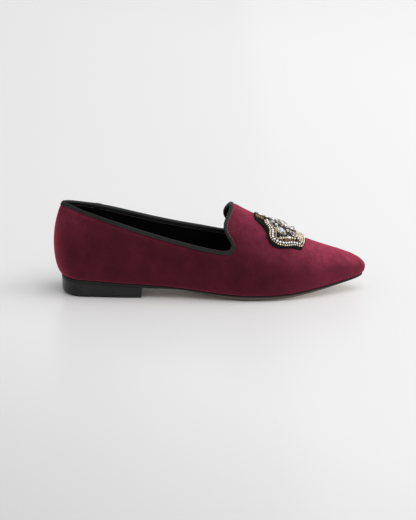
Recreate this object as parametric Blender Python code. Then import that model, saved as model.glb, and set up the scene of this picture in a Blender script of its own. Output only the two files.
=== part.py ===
"""A pointed slipper loafer for the right foot, built piece by piece as a shoemaker would.

The shoe stands on the plane z = 0 with its toe along +X, its outer (lateral) side along -Y and +Z up.
Every curved piece is read from one surface, the last: last_point(side, station, height, inset).
A station is a distance in millimetres along one side of the shoe, from the back of the heel round to the
tip of the toe. A height runs from 0 at the feather edge, where upper and sole meet, to 1 on the ridge.
"""

import math

import bmesh
import bpy
import numpy as np

MM = 0.001
LATERAL, MEDIAL = -1.0, 1.0

# Driving sizes, millimetres
LENGTH = 262.0
BALL_WIDTH = 79.0
INSTEP_HEIGHT = 76.0
GAP = 0.3
WALL = 1.8
LASTING_MARGIN = 8.0
MARGIN_MOST = 0.5

# The heel is turned about an upright axis, and the toe closes from a start line to its tip. Above the bulge
# the back narrows towards the collar, as the comb of a last does.
HEEL_AXIS_X = 27.0
HEEL_ARC = 42.0
HEEL_TUCK = 7.2
TOE_START_X = 240.0
TOE_ARC = 28.0
TOE_APEX_X = 247.0
TOE_TIP_Y = 1.5
TOE_ROUNDING = 8.0
TOE_HANDLE = 0.32
TOE_TUCK = 3.2
STATION_SHIFT = HEEL_ARC - HEEL_AXIS_X
TOE_STATION = TOE_START_X + STATION_SHIFT
END_STATION = TOE_STATION + TOE_ARC
BULGE_HEIGHT = 0.3
COMB_PINCH = 1.4
COMB_END = 70.0
COMB_FADE = 2.5
COMB_ROUND = 0.45
COMB_TIP = 9.0
OUTLINE_STEP = 0.2
HEIGHT_STEP = 0.005

# Half widths of the last in plan, as shares of half the ball width. The feather edge is the sole's outline.
WIDTH_COLUMNS = ("x", "lat_bulge", "med_bulge", "lat_feather", "med_feather", "ridge_y")
WIDTH_ROWS = (
    (27.0, 0.690, 0.690, 0.580, 0.580, 0.000),
    (55.0, 0.742, 0.712, 0.633, 0.600, 0.010),
    (80.0, 0.765, 0.705, 0.650, 0.565, 0.025),
    (105.0, 0.815, 0.730, 0.690, 0.570, 0.045),
    (130.0, 0.902, 0.815, 0.780, 0.665, 0.060),
    (148.0, 0.970, 0.905, 0.860, 0.785, 0.065),
    (163.0, 1.000, 0.975, 0.900, 0.880, 0.065),
    (180.0, 0.982, 1.000, 0.892, 0.915, 0.063),
    (195.0, 0.915, 0.950, 0.830, 0.868, 0.060),
    (210.0, 0.795, 0.835, 0.715, 0.757, 0.055),
    (225.0, 0.630, 0.668, 0.560, 0.600, 0.048),
    (240.0, 0.435, 0.468, 0.375, 0.408, 0.040),
)

# Heights along the shoe, as shares of the instep height. Behind the throat the ridge only guides the walls.
HEIGHT_COLUMNS = ("x", "feather_z", "bulge_z", "ridge_z")
HEIGHT_ROWS = (
    (0.0, 0.203, 0.540, 1.190),
    (27.0, 0.187, 0.475, 1.190),
    (55.0, 0.164, 0.435, 1.160),
    (80.0, 0.146, 0.395, 1.120),
    (105.0, 0.121, 0.342, 1.080),
    (130.0, 0.087, 0.290, 1.035),
    (148.0, 0.066, 0.262, 0.979),
    (163.0, 0.060, 0.243, 0.882),
    (180.0, 0.061, 0.230, 0.765),
    (195.0, 0.069, 0.224, 0.664),
    (210.0, 0.089, 0.222, 0.575),
    (225.0, 0.117, 0.228, 0.509),
    (240.0, 0.149, 0.243, 0.452),
    (247.0, 0.164, 0.252, 0.423),
    (262.0, 0.196, 0.262, 0.395),
)

# The collar edge in side view, from the middle of the back to the corner of the throat, then up the throat.
COLLAR_COLUMNS = ("station", "lat_z", "med_z")
TOPLINE_ROWS = (
    (0.0, 75.8, 75.8),
    (20.0, 75.3, 75.6),
    (42.0, 71.3, 71.7),
    (69.0, 64.2, 64.4),
    (92.0, 57.0, 58.6),
    (119.0, 49.6, 52.4),
    (139.0, 45.0, 48.2),
    (150.0, 43.0, 45.6),
    (158.0, 42.2, 44.0),
    (162.8, 43.4, 44.4),
    (164.4, 46.4, 46.8),
)
THROAT_ROWS = (
    (164.4, 46.4, 46.8),
    (163.0, 50.2, 50.4),
    (160.2, 54.4, 54.6),
    (158.2, 58.6, 58.6),
    (158.0, 62.4, 62.4),
    (159.4, 66.4, 66.4),
    (161.4, 69.8, 69.8),
    (162.9, 72.4, 72.4),
)
THROAT_TOP_STATION = 163.4

# Grid of the upper's wall: columns along the quarter and the vamp, rows up to the corner and up to the ridge.
QUARTER_COLUMNS = 28
VAMP_COLUMNS = 22
VAMP_CROWDING = 1.25
QUARTER_ROWS = 7
THROAT_STEPS = 8
CURVE_STEPS = 40

# Columns of the flat pieces along one side, and how much closer they stand at heel and tip
SOLE_STATIONS = 42
HEEL_STATIONS = 22
INSOLE_STATIONS = 38
END_CROWDING = 0.06

# Sole: bottom line along its middle, thickness of its edge, and how far its lower edge is rolled in.
SOLE_COLUMNS = ("x", "bottom_z", "edge", "roll")
SOLE_ROWS = (
    (0.0, 12.0, 2.8, 0.3),
    (27.0, 10.9, 2.8, 0.3),
    (60.0, 9.3, 2.5, 0.3),
    (80.0, 7.9, 2.3, 0.9),
    (105.0, 6.0, 2.2, 1.3),
    (130.0, 3.0, 2.5, 1.3),
    (148.0, 0.7, 3.0, 1.3),
    (158.0, 0.0, 3.3, 1.3),
    (190.0, 0.0, 3.3, 1.3),
    (205.0, 1.5, 3.0, 1.3),
    (225.0, 4.8, 2.5, 1.2),
    (245.0, 9.0, 1.9, 1.0),
    (262.0, 12.5, 1.4, 0.8),
)
SOLE_STAND_OUT = 1.0
SOLE_EDGE_ROUND = 0.5
SOLE_FLAT_SHARE = 0.62
SOLE_ROLL_RISE = 0.6

# Heel block under the seat
HEEL_BREAST_X = 74.0
HEEL_INSET = 0.1
HEEL_TAPER = 0.2
HEEL_SIDE_BEVEL = 0.8
HEEL_BACK_BEVEL = 3.0

# Insole inside the upper
INSOLE_THICKNESS = 2.4
INSOLE_CLEARANCE = 0.5
INSOLE_EDGE_ROUND = 0.7

# Folded ribbon round the collar edge
RIBBON_GAP = 0.4
RIBBON_THICKNESS = 0.7
RIBBON_DEPTH = 3.5
RIBBON_CROWN = 0.5
CROWN_SHOULDER = (0.7, 0.55)

# Ornament on the vamp. Its half outline is drawn flat: each row is a distance along the ridge from its throat
# end, and a distance round from the ridge.
CREST_START_X = 169.0
CREST_MIDDLE = 25.0
CREST_LENGTH = 47.6
CREST_END_DROP = 1.5
CREST_END_ROWS = ((0.0, 0.0), (0.0, 6.0), (0.4, 11.5))
CREST_SIDE_ROWS = ((0.4, 11.5), (4.5, 14.5), (8.5, 17.8), (11.2, 22.0), (12.0, 26.5), (13.4, 30.4),
                   (17.0, 32.8), (22.0, 32.6), (28.3, 30.3), (34.5, 26.3), (38.5, 24.0), (42.8, 22.6))
CREST_BASE_ROWS = ((42.8, 22.6), (45.6, 14.0), (47.2, 6.0), (CREST_LENGTH, 0.0))
CREST_STEPS = (3, 15, 5)
VAMP_BACK = 10.0
RIDGE_STEPS = 200
SECTION_STEPS = 120
LAYER_CHAMFER = 0.5
FELT_THICKNESS = 2.2
FELT_GAP = 0.4
FELT_SHOULDER = 0.98
FELT_RINGS = (0.0, 0.2, 0.4, 0.6, 0.8)
BORDER_SPAN = (0.95, 0.76)
BORDER_HEIGHT = 1.5
BORDER_SHOULDER = 0.25
FIELD_SPAN = 0.72
FIELD_SHOULDER = 0.67
FIELD_RINGS = (0.0, 0.24, 0.48)
FIELD_HEIGHT = 1.3
STONE_HEIGHT = 1.5
STONE_GIRDLE = 0.4
STONE_TABLE = 0.6
STONE_SIDES = 8
STONE_COLUMNS = ("along", "round", "half_length", "half_width")
STONE_ROWS = (
    (25.0, 0.0, 4.6, 3.8),
    (22.5, -13.5, 4.0, 3.0),
    (22.5, 13.5, 4.0, 3.0),
    (35.5, -9.0, 2.4, 2.4),
    (35.5, 9.0, 2.4, 2.4),
)


def table(columns, rows):
    """A table as a dictionary of columns."""
    return dict(zip(columns, np.array(rows, float).T))


WIDTHS = table(WIDTH_COLUMNS, WIDTH_ROWS)
HEIGHTS = table(HEIGHT_COLUMNS, HEIGHT_ROWS)
SOLE = table(SOLE_COLUMNS, SOLE_ROWS)


def smooth(knots, values, x):
    """Cubic through a table's rows that never overshoots them, level at its first row, flat past its ends."""
    x = np.clip(np.asarray(x, float), knots[0], knots[-1])
    step = np.diff(knots)
    slope = np.diff(values) / step
    before, after = slope[:-1], slope[1:]
    rising = before * after > 0
    weight_a, weight_b = 2 * step[1:] + step[:-1], step[1:] + 2 * step[:-1]
    tangent = np.zeros(len(knots))
    tangent[1:-1][rising] = ((weight_a + weight_b)[rising]
                             / (weight_a[rising] / before[rising] + weight_b[rising] / after[rising]))
    tangent[-1] = slope[-1]
    i = np.clip(np.searchsorted(knots, x, side="right") - 1, 0, len(step) - 1)
    t = (x - knots[i]) / step[i]
    start, end = values[i], values[i + 1]
    return (start * (1 + 2 * t) * (1 - t) ** 2 + end * t * t * (3 - 2 * t)
            + step[i] * (tangent[i] * t * (1 - t) ** 2 - tangent[i + 1] * t * t * (1 - t)))


def width(column, x):
    return smooth(WIDTHS["x"], WIDTHS[column], x) * BALL_WIDTH / 2


def level(column, x):
    return smooth(HEIGHTS["x"], HEIGHTS[column], x) * INSTEP_HEIGHT


def sole_size(column, x):
    return smooth(SOLE["x"], SOLE[column], x)


def spine_x(station):
    """The point of the ridge that a station's section climbs to."""
    toe_share = np.clip((station - TOE_STATION) / TOE_ARC, 0, 1)
    straight = np.clip(station - STATION_SHIFT, HEEL_AXIS_X, TOE_START_X)
    return straight + (TOE_APEX_X - TOE_START_X) * (1 - (1 - toe_share) ** 2)


def outline(side, station, line, tuck_back, tuck_front):
    """Plan of the bulge or feather line: an ellipse at the heel, the width table, then a pointed toe."""
    station = np.asarray(station, float)
    column = ("lat_" if side < 0 else "med_") + line
    straight = np.clip(station - STATION_SHIFT, HEEL_AXIS_X, TOE_START_X)
    x, y = straight.copy(), side * width(column, straight)

    turn = np.pi / 2 * (1 - station / HEEL_ARC)
    heel = station < HEEL_ARC
    x = np.where(heel, HEEL_AXIS_X - (HEEL_AXIS_X - tuck_back) * np.sin(turn), x)
    y = np.where(heel, y * np.cos(turn), y)

    t = np.clip((station - TOE_STATION) / TOE_ARC, 0, 1)
    start = float(width(column, TOE_START_X))
    taper = (start - float(width(column, TOE_START_X - OUTLINE_STEP))) / OUTLINE_STEP
    tip_x = LENGTH - tuck_front
    reach = tip_x - TOE_START_X
    handle = TOE_HANDLE * reach
    knots_x = (TOE_START_X, TOE_START_X + handle, tip_x, tip_x)
    knots_y = (side * start, side * (start + taper * handle), TOE_TIP_Y + side * TOE_ROUNDING, TOE_TIP_Y)
    blend = ((1 - t) ** 3, 3 * t * (1 - t) ** 2, 3 * t * t * (1 - t), t ** 3)
    toe = station > TOE_STATION
    x = np.where(toe, sum(b * k for b, k in zip(blend, knots_x)), x)
    y = np.where(toe, sum(b * k for b, k in zip(blend, knots_y)), y)
    return x, y


def inset_outline(side, station, line, inset):
    """The outline moved inwards by inset, square to itself."""
    tuck_back = HEEL_TUCK if line == "feather" else 0.0
    tuck_front = TOE_TUCK if line == "feather" else 0.0
    x, y = outline(side, station, line, tuck_back, tuck_front)
    ahead = outline(side, station + OUTLINE_STEP, line, tuck_back, tuck_front)
    behind = outline(side, station - OUTLINE_STEP, line, tuck_back, tuck_front)
    run_x, run_y = ahead[0] - behind[0], ahead[1] - behind[1]
    at_tip = station >= END_STATION
    run_x = np.where(at_tip, 0.0, run_x)
    run_y = np.where(at_tip, -side, run_y)
    size = np.hypot(run_x, run_y)
    return x + inset * side * run_y / size, y - inset * side * run_x / size


def last_point(side, station, height, inset=0.0):
    """A point of the last: a quarter ellipse from feather to bulge, and one from bulge to ridge.

    At the back the upper one is drawn in sideways, more so the higher it climbs and less at the very end.
    """
    station, height = np.broadcast_arrays(np.asarray(station, float), np.asarray(height, float))
    bulge_x, bulge_y = inset_outline(side, station, "bulge", inset)
    feather_x, feather_y = inset_outline(side, station, "feather", inset)
    axis_x = spine_x(station)
    axis_y = width("ridge_y", axis_x)
    feather_z = level("feather_z", feather_x) + inset
    bulge_z = level("bulge_z", bulge_x)
    ridge_z = level("ridge_z", axis_x) - inset

    rise = np.pi / 2 * np.clip(height / BULGE_HEIGHT, 0, 1)
    out = np.sin(rise)
    low = (feather_x + (bulge_x - feather_x) * out, feather_y + (bulge_y - feather_y) * out,
           feather_z + (bulge_z - feather_z) * (1 - np.cos(rise)))

    climb = np.pi / 2 * (height - BULGE_HEIGHT) / (1 - BULGE_HEIGHT)
    close = np.cos(climb)
    close_x = np.where(station > TOE_STATION, close * close, close)
    comb = (1 - np.clip(station / COMB_END, 0, 1) ** COMB_FADE) ** 2
    comb = comb * (1 - COMB_ROUND * np.exp(-(station / COMB_TIP) ** 2))
    close_y = close * (1 - COMB_PINCH * comb * np.sin(climb) ** 2)
    high = (axis_x + (bulge_x - axis_x) * close_x, axis_y + (bulge_y - axis_y) * close_y,
            bulge_z + (ridge_z - bulge_z) * np.sin(climb))
    below = height < BULGE_HEIGHT
    return np.stack([np.where(below, a, b) for a, b in zip(low, high)], axis=-1)


def height_at(side, station, z):
    """The height parameter at which a section above its bulge reaches z millimetres."""
    bulge_z = level("bulge_z", inset_outline(side, station, "bulge", 0.0)[0])
    ridge_z = level("ridge_z", spine_x(station))
    climb = np.arcsin(np.clip((z - bulge_z) / (ridge_z - bulge_z), 0, 1))
    return BULGE_HEIGHT + (1 - BULGE_HEIGHT) * climb / (np.pi / 2)


def curve_through(points, count):
    """Evenly spaced points on a smooth curve through the given ones."""
    points = np.array(points, float)
    along = np.concatenate([[0], np.cumsum(np.linalg.norm(np.diff(points, axis=0), axis=1))])
    fine = np.linspace(0, along[-1], CURVE_STEPS * len(points))
    tangent = np.gradient(points, along, axis=0)
    i = np.clip(np.searchsorted(along, fine, side="right") - 1, 0, len(points) - 2)
    step = (along[i + 1] - along[i])[:, None]
    t = (fine - along[i])[:, None] / step
    path = (points[i] * (1 + 2 * t) * (1 - t) ** 2 + points[i + 1] * t * t * (3 - 2 * t)
            + step * (tangent[i] * t * (1 - t) ** 2 - tangent[i + 1] * t * t * (1 - t)))
    travelled = np.concatenate([[0], np.cumsum(np.linalg.norm(np.diff(path, axis=0), axis=1))])
    even = np.linspace(0, travelled[-1], count)
    return np.stack([np.interp(even, travelled, path[:, k]) for k in range(path.shape[1])], axis=-1)


def collar_path(side, rows, count):
    """Stations and heights along part of the collar edge."""
    column = COLLAR_COLUMNS.index("lat_z" if side < 0 else "med_z")
    path = curve_through([(row[0], row[column]) for row in rows], count)
    return path[:, 0], height_at(side, path[:, 0], path[:, 1])


def collar_edge(side, quarter_count, throat_count):
    """The whole collar edge of one side, from the back of the heel to the top of the throat."""
    station, height = collar_path(side, TOPLINE_ROWS, quarter_count)
    throat_station, throat_height = throat_path(side, throat_count)
    return (np.concatenate([station, throat_station[1:]]), np.concatenate([height, throat_height[1:]]))


def throat_path(side, count):
    ridge = float(level("ridge_z", THROAT_TOP_STATION - STATION_SHIFT))
    station, height = collar_path(side, THROAT_ROWS + ((THROAT_TOP_STATION, ridge, ridge),), count)
    height[-1] = 1.0
    return station, height


def quarter_grid(side):
    """Stations and heights of the wall from the back of the heel to the corner of the throat."""
    station, top = collar_path(side, TOPLINE_ROWS, QUARTER_COLUMNS + 1)
    share = np.linspace(0, 1, QUARTER_ROWS + 1)
    return np.repeat(station[:, None], len(share), axis=1), top[:, None] * share


def vamp_grid(side):
    """Stations and heights from the throat to the tip of the toe, spreading out from the throat's edge."""
    corner_station, corner_height = (values[-1:] for values in collar_path(side, TOPLINE_ROWS, 2))
    share = np.linspace(0, 1, QUARTER_ROWS + 1)
    throat_station, throat_height = throat_path(side, THROAT_STEPS + 1)
    left_station = np.concatenate([np.repeat(corner_station, QUARTER_ROWS + 1), throat_station[1:]])
    left_height = np.concatenate([corner_height * share, throat_height[1:]])
    right_height = np.linspace(0, 1, len(left_height))
    forward = np.linspace(0, 1, VAMP_COLUMNS + 1)[:, None]
    forward = 1 - (1 - forward) ** VAMP_CROWDING
    station = left_station + (END_STATION - left_station) * forward
    height = left_height + (right_height - left_height) * forward
    return station, height


def margin_row(side, station, inset):
    """Inner rim of the lasting margin, turned under the foot."""
    feather_x, feather_y = inset_outline(side, station, "feather", inset)
    axis_x = spine_x(station)
    axis_y = width("ridge_y", axis_x)
    reach = np.hypot(feather_x - axis_x, feather_y - axis_y)
    keep = 1 - np.minimum(LASTING_MARGIN / reach, MARGIN_MOST)
    x, y = axis_x + (feather_x - axis_x) * keep, axis_y + (feather_y - axis_y) * keep
    return np.stack([x, y, level("feather_z", x) + inset], axis=-1)


def material(name, colour, roughness, metallic=0.0):
    made = bpy.data.materials.new(name)
    made.use_nodes = True
    shader = made.node_tree.nodes["Principled BSDF"]
    shader.inputs["Base Color"].default_value = (*colour, 1.0)
    shader.inputs["Roughness"].default_value = roughness
    shader.inputs["Metallic"].default_value = metallic
    return made


class Solid:
    """Collects quads and polygons in millimetres, then closes them into one named object of the shoe."""

    def __init__(self):
        self.mesh = bmesh.new()

    def face(self, points):
        corners = [self.mesh.verts.new([c * MM for c in self.place(p)]) for p in points]
        self.mesh.faces.new(corners)

    @staticmethod
    def place(point):
        return point[0] - LENGTH / 2, point[1], point[2]

    def strip(self, grid):
        """Faces between neighbouring points of a grid of points."""
        for i in range(len(grid) - 1):
            for j in range(len(grid[i]) - 1):
                self.face((grid[i][j], grid[i + 1][j], grid[i + 1][j + 1], grid[i][j + 1]))

    def finish(self, name, finish, smooth_angle=40.0):
        bmesh.ops.remove_doubles(self.mesh, verts=self.mesh.verts, dist=2e-6)
        bmesh.ops.dissolve_degenerate(self.mesh, edges=self.mesh.edges, dist=1e-6)
        bmesh.ops.recalc_face_normals(self.mesh, faces=self.mesh.faces)
        data = bpy.data.meshes.new(name)
        self.mesh.to_mesh(data)
        self.mesh.free()
        data.shade_smooth()
        data.set_sharp_from_angle(angle=math.radians(smooth_angle))
        data.materials.append(finish)
        made = bpy.data.objects.new(name, data)
        bpy.context.scene.collection.objects.link(made)
        return made


def make_upper(finish):
    """One wall with its turned-under margin, open at the collar and underneath."""
    solid = Solid()
    for side in (LATERAL, MEDIAL):
        for zone, (station, height) in (("quarter", quarter_grid(side)), ("vamp", vamp_grid(side))):
            faces = {}
            for face, inset in (("outer", 0.0), ("inner", WALL)):
                wall = last_point(side, station, height, inset)
                margin = margin_row(side, station[:, 0], inset)
                faces[face] = np.concatenate([margin[:, None], wall], axis=1)
                solid.strip(faces[face])
            solid.strip(np.stack([faces["outer"][:, 0], faces["inner"][:, 0]]))
            if zone == "quarter":
                rim = [faces[face][:, -1] for face in ("outer", "inner")]
            else:
                rim = [faces[face][0, QUARTER_ROWS + 1:] for face in ("outer", "inner")]
            solid.strip(np.stack(rim))
    return solid.finish("upper", finish)


def side_stations(first, last, count):
    """Stations from the heel towards the toe, closer together round the heel and the tip."""
    share = np.linspace(0, 1, count)
    return first + (last - first) * (share - END_CROWDING * np.sin(2 * np.pi * share))


def share_out(side, station, share, inset):
    """Plan point at a share of the way from the middle line to the inset feather edge."""
    edge_x, edge_y = inset_outline(side, station, "feather", inset)
    middle_x = spine_x(station)
    middle_y = width("ridge_y", middle_x)
    return middle_x + (edge_x - middle_x) * share, middle_y + (edge_y - middle_y) * share


def sole_top(x):
    return level("feather_z", x) - GAP


def sole_bottom_edge(x):
    return sole_top(x) - sole_size("edge", x)


def rows_of(*points):
    """A grid from plan points and heights: one row of points per place in the profile."""
    return np.stack([np.stack(np.broadcast_arrays(x, y, z), axis=-1) for (x, y), z in points], axis=1)


def sole_underside(side, station, inset, drop):
    """Profile of the sole's lower face, from its edge to its middle line, lowered by drop."""
    edge = share_out(side, station, 1.0, inset)
    flat = share_out(side, station, SOLE_FLAT_SHARE, inset)
    middle = share_out(side, station, 0.0, inset)
    return ((edge, sole_bottom_edge(edge[0]) - drop), (flat, sole_size("bottom_z", flat[0]) - drop),
            (middle, sole_size("bottom_z", middle[0]) - drop))


def make_outsole(finish):
    solid = Solid()
    for side in (LATERAL, MEDIAL):
        station = side_stations(0.0, END_STATION, SOLE_STATIONS)
        middle = share_out(side, station, 0.0, 0.0)
        shoulder = share_out(side, station, 1.0, SOLE_EDGE_ROUND - SOLE_STAND_OUT)
        edge = share_out(side, station, 1.0, -SOLE_STAND_OUT)
        roll = sole_size("roll", edge[0])
        underside = sole_underside(side, station, roll - SOLE_STAND_OUT, 0.0)
        solid.strip(rows_of((middle, sole_top(middle[0])), (shoulder, sole_top(shoulder[0])),
                            (edge, sole_top(edge[0]) - SOLE_EDGE_ROUND),
                            (edge, sole_bottom_edge(edge[0]) + SOLE_ROLL_RISE * roll), *underside))
    return solid.finish("outsole", finish)


def make_heel(finish):
    """Block under the seat with an upright front and a bevel that is deepest at the back."""
    solid = Solid()
    breast = []
    for side in (LATERAL, MEDIAL):
        station = side_stations(0.0, HEEL_BREAST_X + STATION_SHIFT, HEEL_STATIONS)
        outer = HEEL_INSET - SOLE_STAND_OUT
        turn = np.pi / 2 * (1 - np.clip(station / HEEL_ARC, 0, 1))
        bevel = HEEL_SIDE_BEVEL + (HEEL_BACK_BEVEL - HEEL_SIDE_BEVEL) * np.sin(turn) ** 2
        edge = share_out(side, station, 1.0, outer)
        foot = share_out(side, station, 1.0, outer + HEEL_TAPER)
        tread = share_out(side, station, 1.0, outer + HEEL_TAPER + bevel)
        middle = share_out(side, station, 0.0, 0.0)
        top = sole_underside(side, station, outer, GAP)
        grid = rows_of(*top[::-1], (foot, bevel), (tread, 0.0), (middle, 0.0))
        solid.strip(grid)
        breast.append(list(grid[-1]))
    solid.face(breast[0] + breast[1][-2:0:-1])
    return solid.finish("heel", finish, smooth_angle=30.0)


def make_insole(finish):
    solid = Solid()
    for side in (LATERAL, MEDIAL):
        station = side_stations(0.0, END_STATION, INSOLE_STATIONS)
        middle = share_out(side, station, 0.0, 0.0)
        edge = share_out(side, station, 1.0, WALL + INSOLE_CLEARANCE)
        shoulder = share_out(side, station, 1.0, WALL + INSOLE_CLEARANCE + INSOLE_EDGE_ROUND)
        profile = []
        for plan, rise in ((middle, 0.0), (edge, 0.0), (edge, INSOLE_THICKNESS - INSOLE_EDGE_ROUND),
                           (shoulder, INSOLE_THICKNESS), (middle, INSOLE_THICKNESS)):
            profile.append((plan, level("feather_z", plan[0]) + WALL + GAP + rise))
        solid.strip(rows_of(*profile))
    return solid.finish("insole", finish)


def collar_strip(side, depths, insets):
    """Points beside the collar edge: each a depth down the wall from the edge and an inset through it."""
    station, height = collar_edge(side, QUARTER_COLUMNS + 1, THROAT_STEPS + 1)
    ahead, behind = station + OUTLINE_STEP, station - OUTLINE_STEP
    along_station = (last_point(side, ahead, height) - last_point(side, behind, height)) / (2 * OUTLINE_STEP)
    above, below = height + HEIGHT_STEP, height - HEIGHT_STEP
    along_height = (last_point(side, station, above) - last_point(side, station, below)) / (2 * HEIGHT_STEP)
    edge = last_point(side, station, height)
    forward = np.gradient(edge, axis=0)
    forward[0] = (0.0, side, 0.0)
    forward[-1] = (0.0, -side, 0.0)
    inward = np.cross(forward, np.cross(along_station, along_height))
    inward /= np.linalg.norm(inward, axis=1)[:, None]
    to_station = np.sum(inward * along_station, axis=1) / np.sum(along_station ** 2, axis=1)
    to_height = np.sum(inward * along_height, axis=1) / np.sum(along_height ** 2, axis=1)
    to_station[0] = 0.0
    to_height[-1] = 0.0
    points = [last_point(side, station + depth * to_station, height + depth * to_height, inset)
              for depth, inset in zip(depths, insets)]
    return np.stack(points, axis=1)


def make_binding(finish):
    """Ribbon folded over the collar edge: an outer leg, a round crown and an inner leg."""
    near, far = RIBBON_GAP, RIBBON_GAP + RIBBON_THICKNESS
    crown = RIBBON_GAP + RIBBON_CROWN
    rise, spread = CROWN_SHOULDER[0] * crown, CROWN_SHOULDER[1] * far
    profile = ((RIBBON_DEPTH, -near), (RIBBON_DEPTH, -far), (0.0, -far), (-rise, -spread), (-crown, WALL / 2),
               (-rise, WALL + spread), (0.0, WALL + far), (RIBBON_DEPTH, WALL + far),
               (RIBBON_DEPTH, WALL + near), (-near, WALL + near), (-near, -near), (RIBBON_DEPTH, -near))
    depths, insets = zip(*profile)
    solid = Solid()
    for side in (LATERAL, MEDIAL):
        solid.strip(collar_strip(side, depths, insets))
    return solid.finish("collar_binding", finish)


def vamp_point(along, around, lift):
    """A point over the vamp: along the ridge from the ornament's start, round from it, and lifted off."""
    side = LATERAL if around < 0 else MEDIAL
    ridge_x = np.linspace(CREST_START_X - VAMP_BACK, TOE_START_X, RIDGE_STEPS)
    ridge = last_point(side, ridge_x + STATION_SHIFT, 1.0)
    travelled = np.concatenate([[0], np.cumsum(np.linalg.norm(np.diff(ridge, axis=0), axis=1))])
    start = np.interp(CREST_START_X, ridge_x, travelled)
    station = np.interp(start + along, travelled, ridge_x) + STATION_SHIFT
    height = np.linspace(1.0, BULGE_HEIGHT, SECTION_STEPS)
    section = last_point(side, station, height)
    distance = np.concatenate([[0], np.cumsum(np.linalg.norm(np.diff(section, axis=0), axis=1))])
    return last_point(side, station, np.interp(abs(around), distance, height), -lift)


def crest_lift(along, lift):
    """The felt is padded: what it carries is highest at the middle of its length and drops to both ends."""
    from_middle = 2 * along / CREST_LENGTH - 1
    return max(FELT_GAP, lift - CREST_END_DROP * from_middle ** 2)


def crest_outline():
    """Closed outline of the ornament, drawn flat."""
    runs = (CREST_END_ROWS, CREST_SIDE_ROWS, CREST_BASE_ROWS)
    half = [curve_through(rows, steps + 1)[:-1] for rows, steps in zip(runs, CREST_STEPS)]
    half = np.concatenate(half + [np.array(CREST_BASE_ROWS[-1:])])
    return np.concatenate([half * (1, -1), half[-2:0:-1]])


def make_layer(name, outline_points, middle, profile, finish):
    """Solid over the vamp: rings of the outline, each a share of its size, at a lift off the vamp."""
    solid = Solid()
    closed = np.concatenate([outline_points, outline_points[:1]])
    rings = []
    for share, lift in profile:
        flat = middle + (closed - middle) * share
        rings.append(np.array([vamp_point(along, around, crest_lift(along, lift)) for along, around in flat]))
    solid.strip(np.array(rings))
    return solid.finish(name, finish, smooth_angle=35.0)


def make_crest(felt, beads, ground, stone):
    """Padded felt, a border of beads, a beaded ground and set stones, stacked on the vamp."""
    outline_points = crest_outline()
    middle = np.array((CREST_MIDDLE, 0.0))
    felt_top = FELT_GAP + FELT_THICKNESS
    felt_profile = [(share, FELT_GAP) for share in FELT_RINGS]
    felt_profile += [(1.0, FELT_GAP), (1.0, felt_top - LAYER_CHAMFER), (FELT_SHOULDER, felt_top)]
    felt_profile += [(share, felt_top) for share in FELT_RINGS[::-1]]
    make_layer("crest_felt", outline_points, middle, felt_profile, felt)

    low = felt_top + GAP
    high = low + BORDER_HEIGHT
    waist = 0.5 * (low + high)
    outer, inner = BORDER_SPAN
    shoulder = BORDER_SHOULDER * (outer - inner)
    border_profile = [(outer, low), (outer, waist), (outer - shoulder, high), (inner + shoulder, high),
                      (inner, waist), (inner, low), (outer, low)]
    make_layer("crest_border", outline_points, middle, border_profile, beads)

    field_top = low + FIELD_HEIGHT
    field_profile = [(share, low) for share in FIELD_RINGS]
    field_profile += [(FIELD_SPAN, low), (FIELD_SPAN, field_top - LAYER_CHAMFER), (FIELD_SHOULDER, field_top)]
    field_profile += [(share, field_top) for share in FIELD_RINGS[::-1]]
    make_layer("crest_field", outline_points, middle, field_profile, ground)

    seat = field_top + GAP
    stone_profile = [(0.0, seat), (1.0, seat), (1.0, seat + STONE_GIRDLE * STONE_HEIGHT),
                     (STONE_TABLE, seat + STONE_HEIGHT), (0.0, seat + STONE_HEIGHT)]
    angle = 2 * np.pi * (np.arange(STONE_SIDES) + 0.5) / STONE_SIDES
    for number, row in enumerate(STONE_ROWS, 1):
        sizes = dict(zip(STONE_COLUMNS, row))
        centre = np.array((sizes["along"], sizes["round"]))
        reach = np.array((sizes["half_length"], sizes["half_width"]))
        shape = centre + reach * np.stack([np.cos(angle), np.sin(angle)], axis=-1)
        make_layer(f"crest_stone_{number}", shape, centre, stone_profile, stone)


def clear_scene():
    for old in list(bpy.data.objects):
        bpy.data.objects.remove(old)


def main():
    clear_scene()
    make_outsole(material("sole_black", (0.02, 0.019, 0.018), 0.45))
    make_heel(material("heel_black", (0.02, 0.02, 0.02), 0.35))
    make_upper(material("velvet", (0.16, 0.02, 0.04), 0.9))
    make_insole(material("sock_black", (0.012, 0.012, 0.012), 0.7))
    make_binding(material("ribbon", (0.025, 0.026, 0.027), 0.75))
    make_crest(felt=material("felt", (0.008, 0.009, 0.008), 0.95),
               beads=material("beads", (0.55, 0.42, 0.26), 0.3, 0.7),
               ground=material("bead_ground", (0.03, 0.03, 0.035), 0.3),
               stone=material("stone", (0.35, 0.38, 0.42), 0.08))


main()
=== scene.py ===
import math

import bmesh
import bpy
import numpy as np
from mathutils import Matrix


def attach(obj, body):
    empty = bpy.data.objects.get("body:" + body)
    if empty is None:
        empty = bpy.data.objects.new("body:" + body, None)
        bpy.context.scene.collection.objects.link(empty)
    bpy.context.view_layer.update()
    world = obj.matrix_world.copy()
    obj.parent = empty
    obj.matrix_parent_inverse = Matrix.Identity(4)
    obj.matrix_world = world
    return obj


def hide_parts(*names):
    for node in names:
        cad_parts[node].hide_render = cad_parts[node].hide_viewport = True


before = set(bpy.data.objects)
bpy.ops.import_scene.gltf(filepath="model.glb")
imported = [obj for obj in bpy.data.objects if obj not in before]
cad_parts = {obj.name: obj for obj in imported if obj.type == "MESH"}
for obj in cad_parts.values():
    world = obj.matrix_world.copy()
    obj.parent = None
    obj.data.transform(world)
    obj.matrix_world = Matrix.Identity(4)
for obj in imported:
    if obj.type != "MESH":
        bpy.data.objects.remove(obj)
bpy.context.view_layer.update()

mm = 0.001
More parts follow.
